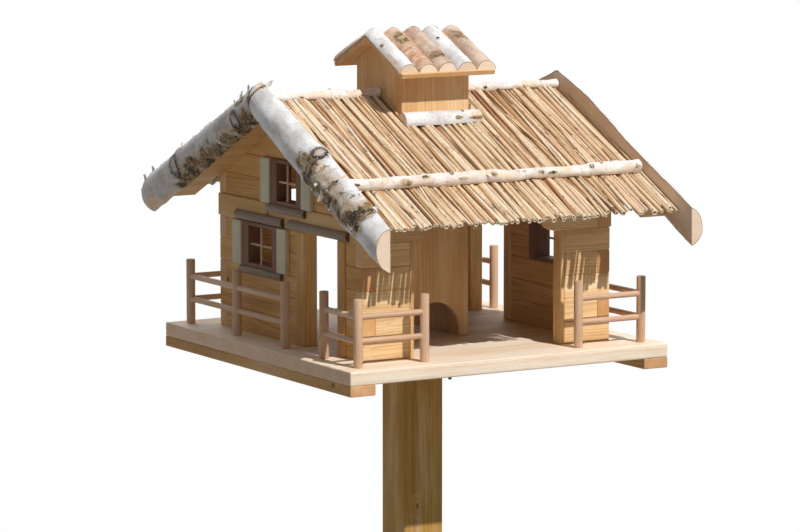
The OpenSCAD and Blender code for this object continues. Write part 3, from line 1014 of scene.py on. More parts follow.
def hand_over(piece: Piece, body: str, slot: str, *nodes: str) -> Piece:
    """Ties a finished piece to its body and hides the CAD nodes it stands for.

    Args:
        piece: The finished piece.
        body: The CAD body it rides on.
        slot: Not used.
        nodes: CAD nodes that it replaces.

    Returns:
        The same piece.
    """
    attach(piece, body)
    if nodes:
        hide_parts(*nodes)
    log.info("%s: %d faces on %s", piece.name, len(piece.data.polygons), body)
    return piece


def deliver(parts: Sequence[Piece], name: str, finish: Look, slot: str, *nodes: str) -> None:
    """Joins parts into one piece of the house, finishes it and hands it over.

    Args:
        parts: The parts.
        name: The piece's name.
        finish: Its finish.
        slot: The record's material slot.
        nodes: CAD nodes that it replaces.
    """
    hand_over(paint(join(parts, name), finish), "house", slot, *nodes)


# -------- birch limbs


class Kind(Enum):
    """What a mark in the bark is."""

    EYE = "eye"
    WORN = "wear"
    BARE = "bare"


@dataclass(frozen=True)
class Mark:
    """One mark on a limb: its kind, its place and its half sizes in metres.

    The turn is in degrees, from the limb's outer side towards its upper side.
    """

    kind: Kind
    along: float
    turn: float
    length: float
    width: float
    rise: float = 0.0
    strength: float = 1.0

    def distance(self, along: np.ndarray, angle: np.ndarray, radius: float) -> np.ndarray:
        """Returns each vertex's offset from the mark in units of its half sizes."""
        gap = np.angle(np.exp(1j * (angle - math.radians(self.turn))))
        return np.column_stack([(along - self.along) / self.length, gap * radius / self.width])


eye, worn, bare = (partial(Mark, kind) for kind in Kind)


@dataclass
class Limb:
    """A birch limb with bark: its middle line, its thickness and the marks on it."""

    start: Vector
    end: Vector
    out: Vector
    up: Vector
    radii: Sequence[float]
    seed: int
    bark: Bark
    marks: Sequence[Mark] = ()
    sides: int = 48
    rings: int = 110
    lumps: tuple[float, float] = (0.003, 0.0014)
    rim: float = 0.0011
    draw: random.Random = field(init=False)
    trunk: Piece = field(init=False)

    def build(self) -> Piece:
        """Models the limb with its lumps and eyes.

        Returns:
            The limb, undressed.
        """
        run = self.end - self.start
        self.draw = random.Random(self.seed)
        piece = self.trunk = round_bar(self.start, self.end, 1, self.sides, self.rings)
        axes = np.array([run.normalized(), self.out, self.up])
        local = (points_of(piece) - np.array(self.start)) @ axes.T
        along, angle = local[:, 0], np.arctan2(local[:, 2], local[:, 1])
        radius = self.thickness(along) * np.hypot(local[:, 1], local[:, 2])
        shift = self.draw.uniform(0, 7)
        store(piece, "bark", np.stack([along + shift, angle * max(self.radii), radius], 1))
        radius += self.mark(piece, along, angle)
        local[:, 1], local[:, 2] = radius * np.cos(angle), radius * np.sin(angle)
        store(piece, "grain", local + np.array([shift, 0, 0]))
        store(piece, "tone", np.full(len(local), self.draw.uniform(-1, 1)))
        move_points(piece, np.array(self.start) + local @ axes)
        roughen(piece, self.lumps[0], 0.055, self.seed)
        roughen(piece, self.lumps[1], 0.014, self.seed + 4)
        if piece.vertex_groups:
            roughen(piece, 0.005, 0.009, self.seed + 8, group="crust")
        return piece

    def thickness(self, along: np.ndarray | float) -> np.ndarray:
        """Returns the limb's radius at a distance from its start."""
        stops = np.linspace(0, (self.end - self.start).length, len(self.radii))
        return np.interp(along, stops, self.radii)

    def mark(self, piece: Piece, along: np.ndarray, angle: np.ndarray) -> np.ndarray:
        """Stores the marks for the bark finish.

        Args:
            piece: The limb.
            along: Each vertex's distance from the start.
            angle: Each vertex's turn round the limb.

        Returns:
            How far each vertex stands out.
        """
        rise = np.zeros(len(along))
        eyes = np.tile((9.0, 9.0, 0.0), (len(along), 1))
        masks = {Kind.WORN: np.zeros(len(along)), Kind.BARE: np.zeros(len(along))}
        for mark in self.marks:
            offset = mark.distance(along, angle, max(self.radii))
            away = np.hypot(offset[:, 0], offset[:, 1])
            if mark.kind is Kind.EYE:
                nearer = away < np.hypot(eyes[:, 0], eyes[:, 1])
                eyes[nearer] = np.column_stack([offset[nearer], np.ones(nearer.sum())])
                rise += mark.rise * (np.exp(-(away / 1.5) ** 2) - 0.6 * np.exp(-(away / 0.6) ** 2))
            else:
                mask = masks[mark.kind]
                np.maximum(mask, np.clip(1.6 - 1.2 * away, 0, 1) * mark.strength, out=mask)
                rise += mark.rise * np.exp(-away**2)
        store(piece, "eye", eyes)
        for kind, mask in masks.items():
            store(piece, kind.value, mask)
        if masks[Kind.WORN].max() > 0.9:
            crust = piece.vertex_groups.new(name="crust")
            for level in (0.3, 0.6, 0.9):
                inside = np.flatnonzero(masks[Kind.WORN] > level)
                crust.add(inside.tolist(), level, "REPLACE")
        return rise

    def dress(self, piece: Piece) -> Piece:
        """Gives the limb its bark, and its sawn faces cut wood inside a rim of bark.

        Args:
            piece: The limb, cut to shape.

        Returns:
            The same limb.
        """
        paint(piece, self.bark, Finish.CUT, Finish.RIM)
        for part in (*piece.data.vertices, *piece.data.edges):
            part.select = False
        for face in piece.data.polygons:
            face.select = len(face.vertices) > 8
            face.material_index = int(face.select)
        with edit_mode(piece, "", 2):
            bpy.ops.mesh.remove_doubles(threshold=0.0006)
            bpy.ops.mesh.inset(thickness=self.rim, depth=0, use_even_offset=False)
        for face in piece.data.polygons:
            if not face.select and len(face.vertices) == 4 and face.material_index == 1:
                face.material_index = 2
        smooth(piece)
        return piece

    def scrap(self, along: float, turn: float, length: float, width: float,
              curl: float) -> Piece:
        """Makes one loose scrap of bark that stands off the limb.

        Args:
            along: Distance of its root from the limb's start.
            turn: Its root's place round the limb, in degrees.
            length: Length of the scrap round the limb; below zero it points the other way.
            width: Width along the limb.
            curl: How steeply it stands off, 1 for a quarter turn.

        Returns:
            The scrap.
        """
        run = (self.end - self.start).normalized()
        angle = math.radians(turn)
        radial = self.out * math.cos(angle) + self.up * math.sin(angle)
        around = self.up * math.cos(angle) - self.out * math.sin(angle)
        around *= math.copysign(1, length)
        root = self.start + run * along + radial * (self.thickness(along) + 0.004)
        root = self.trunk.closest_point_on_mesh(root)[1] - radial * 0.0005
        piece = copy_of(Patterns.flake(self.draw.randrange(5)), "scrap")
        points = points_of(piece)
        size = abs(length)
        away, side, rise = points[:, 0] * size, points[:, 1] * width, points[:, 2] * size
        if length < 0:
            piece.data.flip_normals()
        move_points(piece, np.array(root) + np.outer(away, around) + np.outer(side, run)
                    + np.outer(rise * curl, radial))
        spot = [along + side, angle * self.thickness(along) + away,
                rise + self.draw.uniform(0, 3)]
        store(piece, "bark", np.array(spot).T)
        store(piece, "bare", np.full(len(points), self.draw.choice((0.0, 0.0, 0.7))))
        paint(piece, self.bark, Finish.CUT, Finish.RIM)
        return piece

    def fringe(self, low: float, high: float, turns: Sequence[float],
               count: int) -> list[Piece]:
        """Makes many small scraps over one part of the limb.

        Args:
            low: Start of that part along the limb.
            high: Its end.
            turns: Its lowest and highest turn, in degrees.
            count: Number of scraps.

        Returns:
            The scraps.
        """
        draw = self.draw
        return [self.scrap(draw.uniform(low, high), draw.uniform(*turns),
                           draw.choice((-1, 1)) * draw.uniform(0.003, 0.010),
                           draw.uniform(0.003, 0.009), draw.uniform(0.15, 0.6))
                for _ in range(count)]


# -------- the house


@dataclass(frozen=True)
class Plan:
    """The house's main lines, read off the CAD nodes, in metres."""

    floor: float
    half_x: float
    half_y: float
    wall: float
    course: float
    door_top: float
    deck_top: float
    reed_top: float
    pitch: float = math.radians(26)
    slope: float = math.tan(math.radians(26))

    @classmethod
    def measure(cls) -> "Plan":
        """Reads the main lines off the nodes' boxes.

        Returns:
            The plan.
        """
        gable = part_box("left_gable_front_wall")
        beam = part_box("left_gable_beam")
        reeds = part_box("front_thatch")
        return cls(
            floor=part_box("base_board")[1].z,
            half_x=-gable[0].x,
            half_y=-gable[0].y,
            wall=gable[1].x - gable[0].x,
            course=beam[1].z - beam[0].z,
            door_top=beam[0].z,
            deck_top=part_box("roof_boards")[1].z,
            reed_top=reeds[1].z - reeds[1].y * cls.slope,
        )

    def down(self, apex: float, run: float) -> float:
        """Returns the height of a slope with this apex at run from the ridge line."""
        return apex - abs(run) * self.slope

    def fall(self, side: int) -> Vector:
        """Returns the way down the front slope, -1, or the back one, 1."""
        return Vector((0, side * math.cos(self.pitch), -math.sin(self.pitch)))

    def normal(self, side: int) -> Vector:
        """Returns the way out of the front slope, -1, or the back one, 1."""
        return Vector((0, side * math.sin(self.pitch), math.cos(self.pitch)))


PLAN = Plan.measure()


@dataclass
class Stand:
    """The post, the base board, its two battens and the bolt's end under the board."""

    post_edge: float = 0.004
    board_edge: float = 0.0025
    batten_edge: float = 0.0014
    batten: float = 0.043
    bolt: tuple[float, float] = (-0.090, -0.260)
    bolt_length: float = 0.0098
    bolt_edge: float = 0.0006
    nut: float = 0.0048
    nut_height: float = 0.0055
    sunk: float = 0.001
    seed: int = 11

    def build(self) -> None:
        """Builds and dresses the stand."""
        draw = random.Random(self.seed)
        low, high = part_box("post")
        post = saw(block(low, high, self.post_edge, 3), Z, X, draw, (0.05, 0.07), 0)
        deliver([post], "post_timber", Finish.POST, "pine", "post")
        low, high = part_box("base_board")
        board = saw(block(low, high, self.board_edge, 4), X, Y, draw, (0.3, 0.4), 0)
        smooth(board, 30)
        deliver([board], "base_panel_board", Finish.PANEL, "spruce", "base_board")
        self.build_bolt(low.z)
        low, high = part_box("base_battens")
        bars = []
        for start in (low.x, high.x - self.batten):
            bar = block((start, low.y, low.z), (start + self.batten, high.y, high.z),
                        self.batten_edge)
            bars.append(saw(bar, Y, X, draw))
        deliver(bars, "batten_timbers", Finish.BATTEN, "spruce_end", "base_battens")

    def build_bolt(self, under: float) -> None:
        """Builds the bolt's end and its nut, which show below the board's front edge.

        Args:
            under: Height of the board's underside.
        """
        top = Vector((*self.bolt, under + self.sunk))
        end = dowel(top, top - self.bolt_length * Z, self.nut * 0.55, self.bolt_edge)
        nut = round_bar(top, top - self.nut_height * Z, self.nut, 6)
        finish_modifier(nut, "BEVEL", width=self.bolt_edge, segments=2)
        deliver([nut, end], "bolt_end", Finish.ZINC, "spruce")


@dataclass
class Walls:
    """The four short walls beside the wide openings, with jambs, corbels and plates.

    Each cut of a corbel has its place in from the tip and up from the plank's underside, and
    how much it faces the opening and the floor.
    """

    edge: float = 0.0016
    jamb: float = 0.007
    jamb_edge: float = 0.0012
    corbel: float = 0.025
    corbel_cuts: tuple[tuple[float, ...], ...] = ((0, 0.016, 1, 0.45), (0.012, 0.001, 0.55, 1))
    courses: int = 6
    seed: int = 3

    def build(self) -> None:
        """Builds and dresses all short walls."""
        draw = random.Random(self.seed)
        for name, side_x, side_y in (("front_left", -1, -1), ("front_right", 1, -1),
                                     ("back_left", -1, 1), ("back_right", 1, 1)):
            planks = [self.plank(k, side_x, side_y, draw) for k in range(self.courses)]
            # These planks take the paler copy of the plank finish, whose lightness is painted
            # sunlight.
            deliver(planks, name + "_wall_planks", Finish.PAINTED_SUNLIT_PLANK, "plank", name + "_wall")
        self.build_jambs(draw)
        self.build_plates(draw)

    def plank(self, k: int, side_x: int, side_y: int, draw: random.Random) -> Piece:
        """Makes one plank; every other one runs out to the corner.

        Args:
            k: Number of the course, from the floor.
            side_x: -1 for a wall on the left, 1 on the right.
            side_y: -1 for the front, 1 for the back.
            draw: Source of the plank's own differences.

        Returns:
            The plank.
        """
        p = PLAN
        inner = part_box("opening_jambs")[1].x
        outer = p.half_x if k % 2 == 0 else p.half_x - p.wall
        top = k == self.courses - 1
        nose = inner - (self.jamb + self.corbel if top else 0)
        foot = p.floor + k * p.course
        plank = block((side_x * outer, side_y * p.half_y, foot),
                      (side_x * nose, side_y * (p.half_y - p.wall), foot + p.course), self.edge)
        for inset, height, inwards, down in self.corbel_cuts if top else ():
            cut(plank, (side_x * (nose + inset), 0, foot + height), (-side_x * inwards, 0, -down))
        return saw(plank, X, Z, draw)

    def build_jambs(self, draw: random.Random) -> None:
        """Builds the thin boards on the walls' ends.

        Args:
            draw: Source of the boards' own differences.
        """
        low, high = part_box("opening_jambs")
        boards = []
        for side_x in (-1, 1):
            for side_y in (-1, 1):
                ends = (side_y * PLAN.half_y, side_y * (PLAN.half_y - PLAN.wall))
                board = block((side_x * high.x, ends[0], low.z),
                              (side_x * (high.x - self.jamb), ends[1], high.z), self.jamb_edge)
                boards.append(saw(board, Z, Y, draw))
        deliver(boards, "opening_jamb_boards", Finish.BEAM, "plank", "opening_jambs")

    def build_plates(self, draw: random.Random) -> None:
        """Builds the full-length top planks, bevelled to the roof.

        Args:
            draw: Source of the planks' own differences.
        """
        low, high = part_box("wall_plates")
        plates = []
        for side in (-1, 1):
            plate = block((low.x, side * PLAN.half_y, low.z),
                          (high.x, side * (PLAN.half_y - PLAN.wall), high.z), self.edge)
            eave = PLAN.door_top + 2 * PLAN.course
            cut(plate, (0, side * PLAN.half_y, eave), (0, side * PLAN.slope, 1))
            plates.append(saw(plate, X, Z, draw))
        # The plates take the same paler copy, painted sunlight.
        deliver(plates, "wall_plate_timbers", Finish.PAINTED_SUNLIT_PLANK, "plank", "wall_plates")


@dataclass
class Gable:
    """One gable: grooved planks, beam, door posts, windows, shutters, hoods and sills."""

    name: str
    side: int
    seed: int
    edge: float = 0.0016
    beam_edge: float = 0.002
    post_edge: float = 0.0018
    stile_edge: float = 0.0015
    rail_edge: float = 0.001
    rows: int = 5
    top_rows: int = 4
    door_post: float = 0.023
    low_window: float = 0.115
    top_window: float = 0.100
    stile: float = 0.020
    rail: float = 0.006
    rail_depth: float = 0.0006
    bar: float = 0.0036
    bar_depth: float = 0.0035
    bar_edge: float = 0.0002
    shutter: float = 0.028
    shutter_gap: float = 0.0005
    sill: float = 0.013
    strip_edge: float = 0.0008
    spare: float = 0.004
    draw: random.Random = field(init=False)

    def __post_init__(self) -> None:
        """Starts the gable's own random draws."""
        self.draw = random.Random(self.seed)

    def at(self, x: float, y: float, z: float) -> Vector:
        """Turns a place on the left gable to this one."""
        return Vector((self.side * x, self.side * y, z))

    def board(self, low: Sequence[float], high: Sequence[float], edge: float,
              along: Vector = Y, across: Vector = Z) -> Piece:
        """Makes one board.

        Args:
            low: One corner on the left gable.
            high: The opposite corner.
            edge: Radius of the rounded edges.
            along: Direction of the grain.
            across: Direction of the board's width.

        Returns:
            The board on this gable.
        """
        return saw(block(self.at(*low), self.at(*high), edge), along, across, self.draw)

    def hand_in(self, parts: Sequence[Piece], part: str, ending: str, finish: Look,
                slot: str) -> None:
        """Delivers parts that stand for this gable's node of one kind.

        Args:
            parts: The parts.
            part: The word that stands in the node's name in place of gable.
            ending: What the piece's name has after the node's.
            finish: Their finish.
            slot: The record's material slot.
        """
        node = self.name.replace("gable", part)
        deliver(parts, f"{node}_{ending}", finish, slot, node)

    def build(self) -> None:
        """Builds and dresses the gable."""
        self.build_planks()
        self.build_top()
        self.build_frames()
        self.build_trim()

    def build_planks(self) -> None:
        """Builds the planks below the beam, the beam and the door posts."""
        p = PLAN
        inner = -p.half_x + p.wall
        gap_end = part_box("left_windows")[1].y
        gap_start = gap_end - self.low_window
        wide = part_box("left_gable_rear_wall")[0].y
        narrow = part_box("left_gable_front_wall")[1].y
        beside, around = [], []
        for k in range(self.rows):
            foot = p.floor + k * p.course
            reach = p.half_y if k % 2 else p.half_y - p.wall
            spans = [(wide, reach)] if k < 3 else [(wide, gap_start), (gap_end, reach)]
            for start, end in spans:
                around.append(self.board((-p.half_x, start, foot), (inner, end, foot + p.course),
                                         self.edge))
            beside.append(self.board((-p.half_x, -reach, foot), (inner, narrow, foot + p.course),
                                     self.edge))
        near, far = ("front", "rear") if self.side > 0 else ("rear", "front")
        for planks, place in ((beside, near), (around, far)):
            deliver(planks, f"{self.name}_{place}_planks", Finish.PLANK, "plank",
                    f"{self.name}_{place}_wall")
        low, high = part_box("left_gable_beam")
        beam = self.board(low, high, self.beam_edge)
        self.hand_in([beam], "gable_beam", "timber", Finish.BEAM, "spruce")
        low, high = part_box("left_door_posts")
        posts = [self.board((low.x, start, low.z), (high.x, start + self.door_post, high.z),
                            self.post_edge, Z, Y)
                 for start in (low.y, high.y - self.door_post)]
        self.hand_in(posts, "door_posts", "timber", Finish.PLANK, "plank")

    def build_top(self) -> None:
        """Builds the planks over the beam, cut to the roof, with the upper window's gap."""
        p = PLAN
        foot = p.door_top + p.course
        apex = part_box("left_gable_top")[1].z
        wide = p.half_y - p.wall
        half = self.top_window / 2
        planks = []
        for k in range(self.top_rows):
            low = foot + k * p.course
            high = low + p.course if k < self.top_rows - 1 else apex + self.spare
            spans = [(-wide, wide)] if k > 1 else [(-wide, -half), (half, wide)]
            for start, end in spans:
                plank = self.board((-p.half_x, start, low), (-p.half_x + p.wall, end, high),
                                   self.edge)
                for side in (-1, 1):
                    cut(plank, (0, 0, apex), (0, side * p.slope, 1))
                planks.append(plank)
        planks = [plank for plank in planks if len(plank.data.polygons)]
        self.hand_in(planks, "gable_top", "planks", Finish.PLANK, "plank")

    def build_frames(self) -> None:
        """Builds both window frames with their glazing bars, and the shutters."""
        p = PLAN
        low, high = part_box("left_windows")
        face, back = low.x, high.x
        height = 2 * p.course
        windows = ((high.y - self.low_window / 2, p.door_top - height, self.low_window),
                   (0.0, p.door_top + p.course, self.top_window))
        parts, bars, leaves = [], [], []
        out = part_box("left_shutters")[0].x
        for middle, foot, width in windows:
            half = width / 2
            for side in (-1, 1):
                a, b = middle + side * half, middle + side * (half - self.stile)
                parts.append(self.board((face, a, foot), (back, b, foot + height),
                                        self.stile_edge, Z, Y))
                leaves.append(self.board((out, a, foot + self.shutter_gap),
                                         (-p.half_x, a + side * self.shutter,
                                          foot + height - self.shutter_gap), self.edge, Z, Y))
            inside = half - self.stile
            for z in (foot, foot + height - self.rail):
                parts.append(self.board((face + self.rail_depth, middle - inside, z),
                                        (back, middle + inside, z + self.rail),
                                        self.rail_edge))
            centre = foot + height / 2
            upright = face + self.bar_depth
            crossing = upright + self.bar * 0.8
            for start, end, along in (
                    ((crossing, middle - inside, centre), (crossing, middle + inside, centre), Y),
                    ((upright, middle, foot + self.rail),
                     (upright, middle, foot + height - self.rail), Z)):
                rod = dowel(self.at(*start), self.at(*end), self.bar / 2, self.bar_edge)
                smooth(rod)
                bars.append(saw(rod, along, X, self.draw, THIN_STEM))
        self.hand_in(parts, "windows", "frames", Finish.FRAME, "window_wood")
        bars_name = self.name.replace("gable", "windows") + "_bars"
        deliver(bars, bars_name, Finish.BAR, "window_wood")
        self.hand_in(leaves, "shutters", "boards", Finish.SHUTTER, "shutter")

    def half_round(self, face: float, middle: float, foot: float, length: float,
                   size: float) -> Piece:
        """Makes a half-round strip along Y, flat against the wall.

        Args:
            face: The wall's face on the left gable.
            middle: Middle of the strip's length.
            foot: Height of its underside.
            length: Its length.
            size: Its height.

        Returns:
            The strip on this gable.
        """
        start = self.at(face, middle - length / 2, foot + size / 2)
        end = self.at(face, middle + length / 2, foot + size / 2)
        strip = round_bar(start, end, size / 2, 28)
        cut(strip, start, self.at(1, 0, 0))
        round_edges(strip, self.strip_edge, 50)
        smooth(strip, 35)
        return saw(strip, Y, Z, self.draw, TWIG)

    def build_trim(self) -> None:
        """Builds the half-round hoods over the openings and the sills."""
        hoods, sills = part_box("left_hoods"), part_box("left_sills")
        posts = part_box("left_door_posts")
        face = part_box("left_gable_beam")[0].x
        size = hoods[1].z - hoods[0].z
        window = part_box("left_windows")[1].y - self.low_window / 2
        door = (posts[0].y + posts[1].y) / 2
        strips = [self.half_round(face, window, hoods[0].z, 2 * (hoods[1].y - window), size),
                  self.half_round(face, door, hoods[0].z, 2 * (door - hoods[0].y), size)]
        self.hand_in(strips, "hoods", "strips", Finish.STRIP, "dowel")
        under = PLAN.door_top + PLAN.course - self.sill
        strips = [self.half_round(-PLAN.half_x, window, sills[0].z, 2 * (sills[1].y - window),
                                  self.sill),
                  self.half_round(face, 0, under, -2 * sills[0].y, self.sill)]
        self.hand_in(strips, "sills", "strips", Finish.STRIP, "dowel")


@dataclass
class Silo:
    """The feed silo: four boards with vertical grain and the sticks at its foot."""

    edge: float = 0.0012
    foot: float = 0.014
    seed: int = 21

    def build(self) -> None:
        """Builds and dresses the silo."""
        draw = random.Random(self.seed)
        for node in ("silo_front", "silo_back", "silo_left_side", "silo_right_side"):
            across = X if node in ("silo_front", "silo_back") else Y
            board = softened(node, node + "_board", self.edge)
            deliver([saw(board, Z, across, draw, (0.04, 0.07), 0)], board.name, Finish.PALE,
                    "spruce", node)
        self.build_foot_sticks()

    def build_foot_sticks(self) -> None:
        """Builds the half sticks that close the gap between the reeds and the silo."""
        low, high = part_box("silo_foot_sticks")
        radii = (self.foot, self.foot * 1.03, self.foot * 0.94)
        marks = (bare(0.128, 70, 0.014, 0.012),
                 worn(0.094, 75, 0.010, 0.004),
                 eye(0.104, 20, 0.002, 0.003, 0.0008),
                 worn(0.128, 82, 0.02, 0.004))
        sticks = []
        for side in (-1, 1):
            run = high.y - self.foot * math.cos(PLAN.pitch)
            start = Vector((low.x, side * run, PLAN.down(PLAN.reed_top, run)))
            end = Vector((high.x, *start.yz))
            limb = Limb(start, end, Z, side * Y, radii, 5 + side, Finish.WHITE_BARK, marks,
                        sides=36, rings=40, lumps=(0.0012, 0.0008))
            stick = limb.build()
            cut(stick, start, (0, -side * PLAN.slope, -1))
            sticks.append(limb.dress(stick))
        hand_over(join(sticks, "silo_foot_birch"), "house", "birch_bark", "silo_foot_sticks")


@dataclass
class Lid:
    """The loose lid: two boards under five half-round pieces on each slope."""

    edge: float = 0.0012
    count: int = 5
    gap: float = 0.001
    spare: float = 0.03
    eave_rise: float = 0.012
    ridge_rise: float = 0.009
    seed: int = 31
    growth: tuple[float, ...] = (1, 0.94, 1.04, 0.98, 1)
    barks: tuple[Bark, ...] = (Finish.WHITE_BARK, Finish.RED_BARK, Finish.TAN_BARK,
                               Finish.WHITE_BARK, Finish.TAN_BARK)
    marks: tuple[tuple[Mark, ...], ...] = (
        (worn(0.075, 128, 0.006, 0.004), bare(0.12, 140, 0.04, 0.004)),
        (worn(0.06, 96, 0.022, 0.014, strength=0.72),
         bare(0.115, 90, 0.03, 0.03)),
        (worn(0.115, 98, 0.020, 0.016, strength=0.74),
         bare(0.06, 70, 0.02, 0.01, strength=0.6)),
        (worn(0.064, 118, 0.006, 0.004),
         worn(0.10, 60, 0.03, 0.004, strength=0.6)),
        (worn(0.06, 90, 0.03, 0.02, strength=0.5),
         bare(0.12, 60, 0.02, 0.008)),
    )

    def build(self) -> None:
        """Builds and dresses the lid."""
        draw = random.Random(self.seed)
        boards = saw(softened("silo_lid_boards", "lid_boards_timber", self.edge), X, Y, draw)
        hand_over(paint(boards, Finish.PALE), "lid", "spruce", "silo_lid_boards")
        low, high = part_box("silo_lid_logs")
        for side, place, run in ((-1, "front", -low.y), (1, "back", high.y)):
            for i in range(self.count):
                piece = self.half_log(i, side, run, (low.x, high.x))
                piece = join([piece], f"lid_{place}_piece_{i + 1}")
                nodes = ("silo_lid_logs",) if i == 0 and side < 0 else ()
                hand_over(piece, "lid", "brown_bark", *nodes)

    def half_log(self, i: int, side: int, run: float, ends: tuple[float, float]) -> Piece:
        """Makes one half-round piece.

        Args:
            i: Its number from the left end.
            side: -1 for the front slope, 1 for the back one.
            run: Horizontal reach of the slope.
            ends: The pieces' lowest and highest x.

        Returns:
            The dressed piece.
        """
        kind = i if side < 0 else self.count - 1 - i
        width = (ends[1] - ends[0] + self.gap) / self.count
        half = (width - self.gap) / 2
        rise = self.eave_rise * self.growth[kind]
        radius = (half**2 + rise**2) / (2 * rise)
        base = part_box("silo_lid_boards")[1].z
        normal, down = PLAN.normal(side), PLAN.fall(side)
        length = run / math.cos(PLAN.pitch)
        ridge = Vector((ends[0] + half + i * width, 0, base)) + normal * (self.ridge_rise - radius)
        eave = ridge + down * length + normal * (rise - self.ridge_rise)
        reach = (eave - ridge).normalized() * self.spare
        limb = Limb(ridge - reach, eave + reach, X, normal, (radius, radius), 70 + 7 * i + side,
                    self.barks[kind], self.marks[kind], sides=40, rings=60,
                    lumps=(0.0026, 0.0013))
        piece = limb.build()
        cut(piece, (0, 0, base), -normal)
        cut(piece, (0, 0, 0), (0, -side, 0))
        cut(piece, (0, side * run, 0), (0, side, 0))
        return limb.dress(piece)


@dataclass(frozen=True)
class Layer:
    """One layer of reeds: its height on the boards, its tones and how its reeds differ; the lower
    layers' darker tone is painted shade in the gaps between the top reeds.
    """

    height: float
    tone: float
    tone_spread: float
    lean: float
    thickest: float
    shorter: tuple[float, float, float]


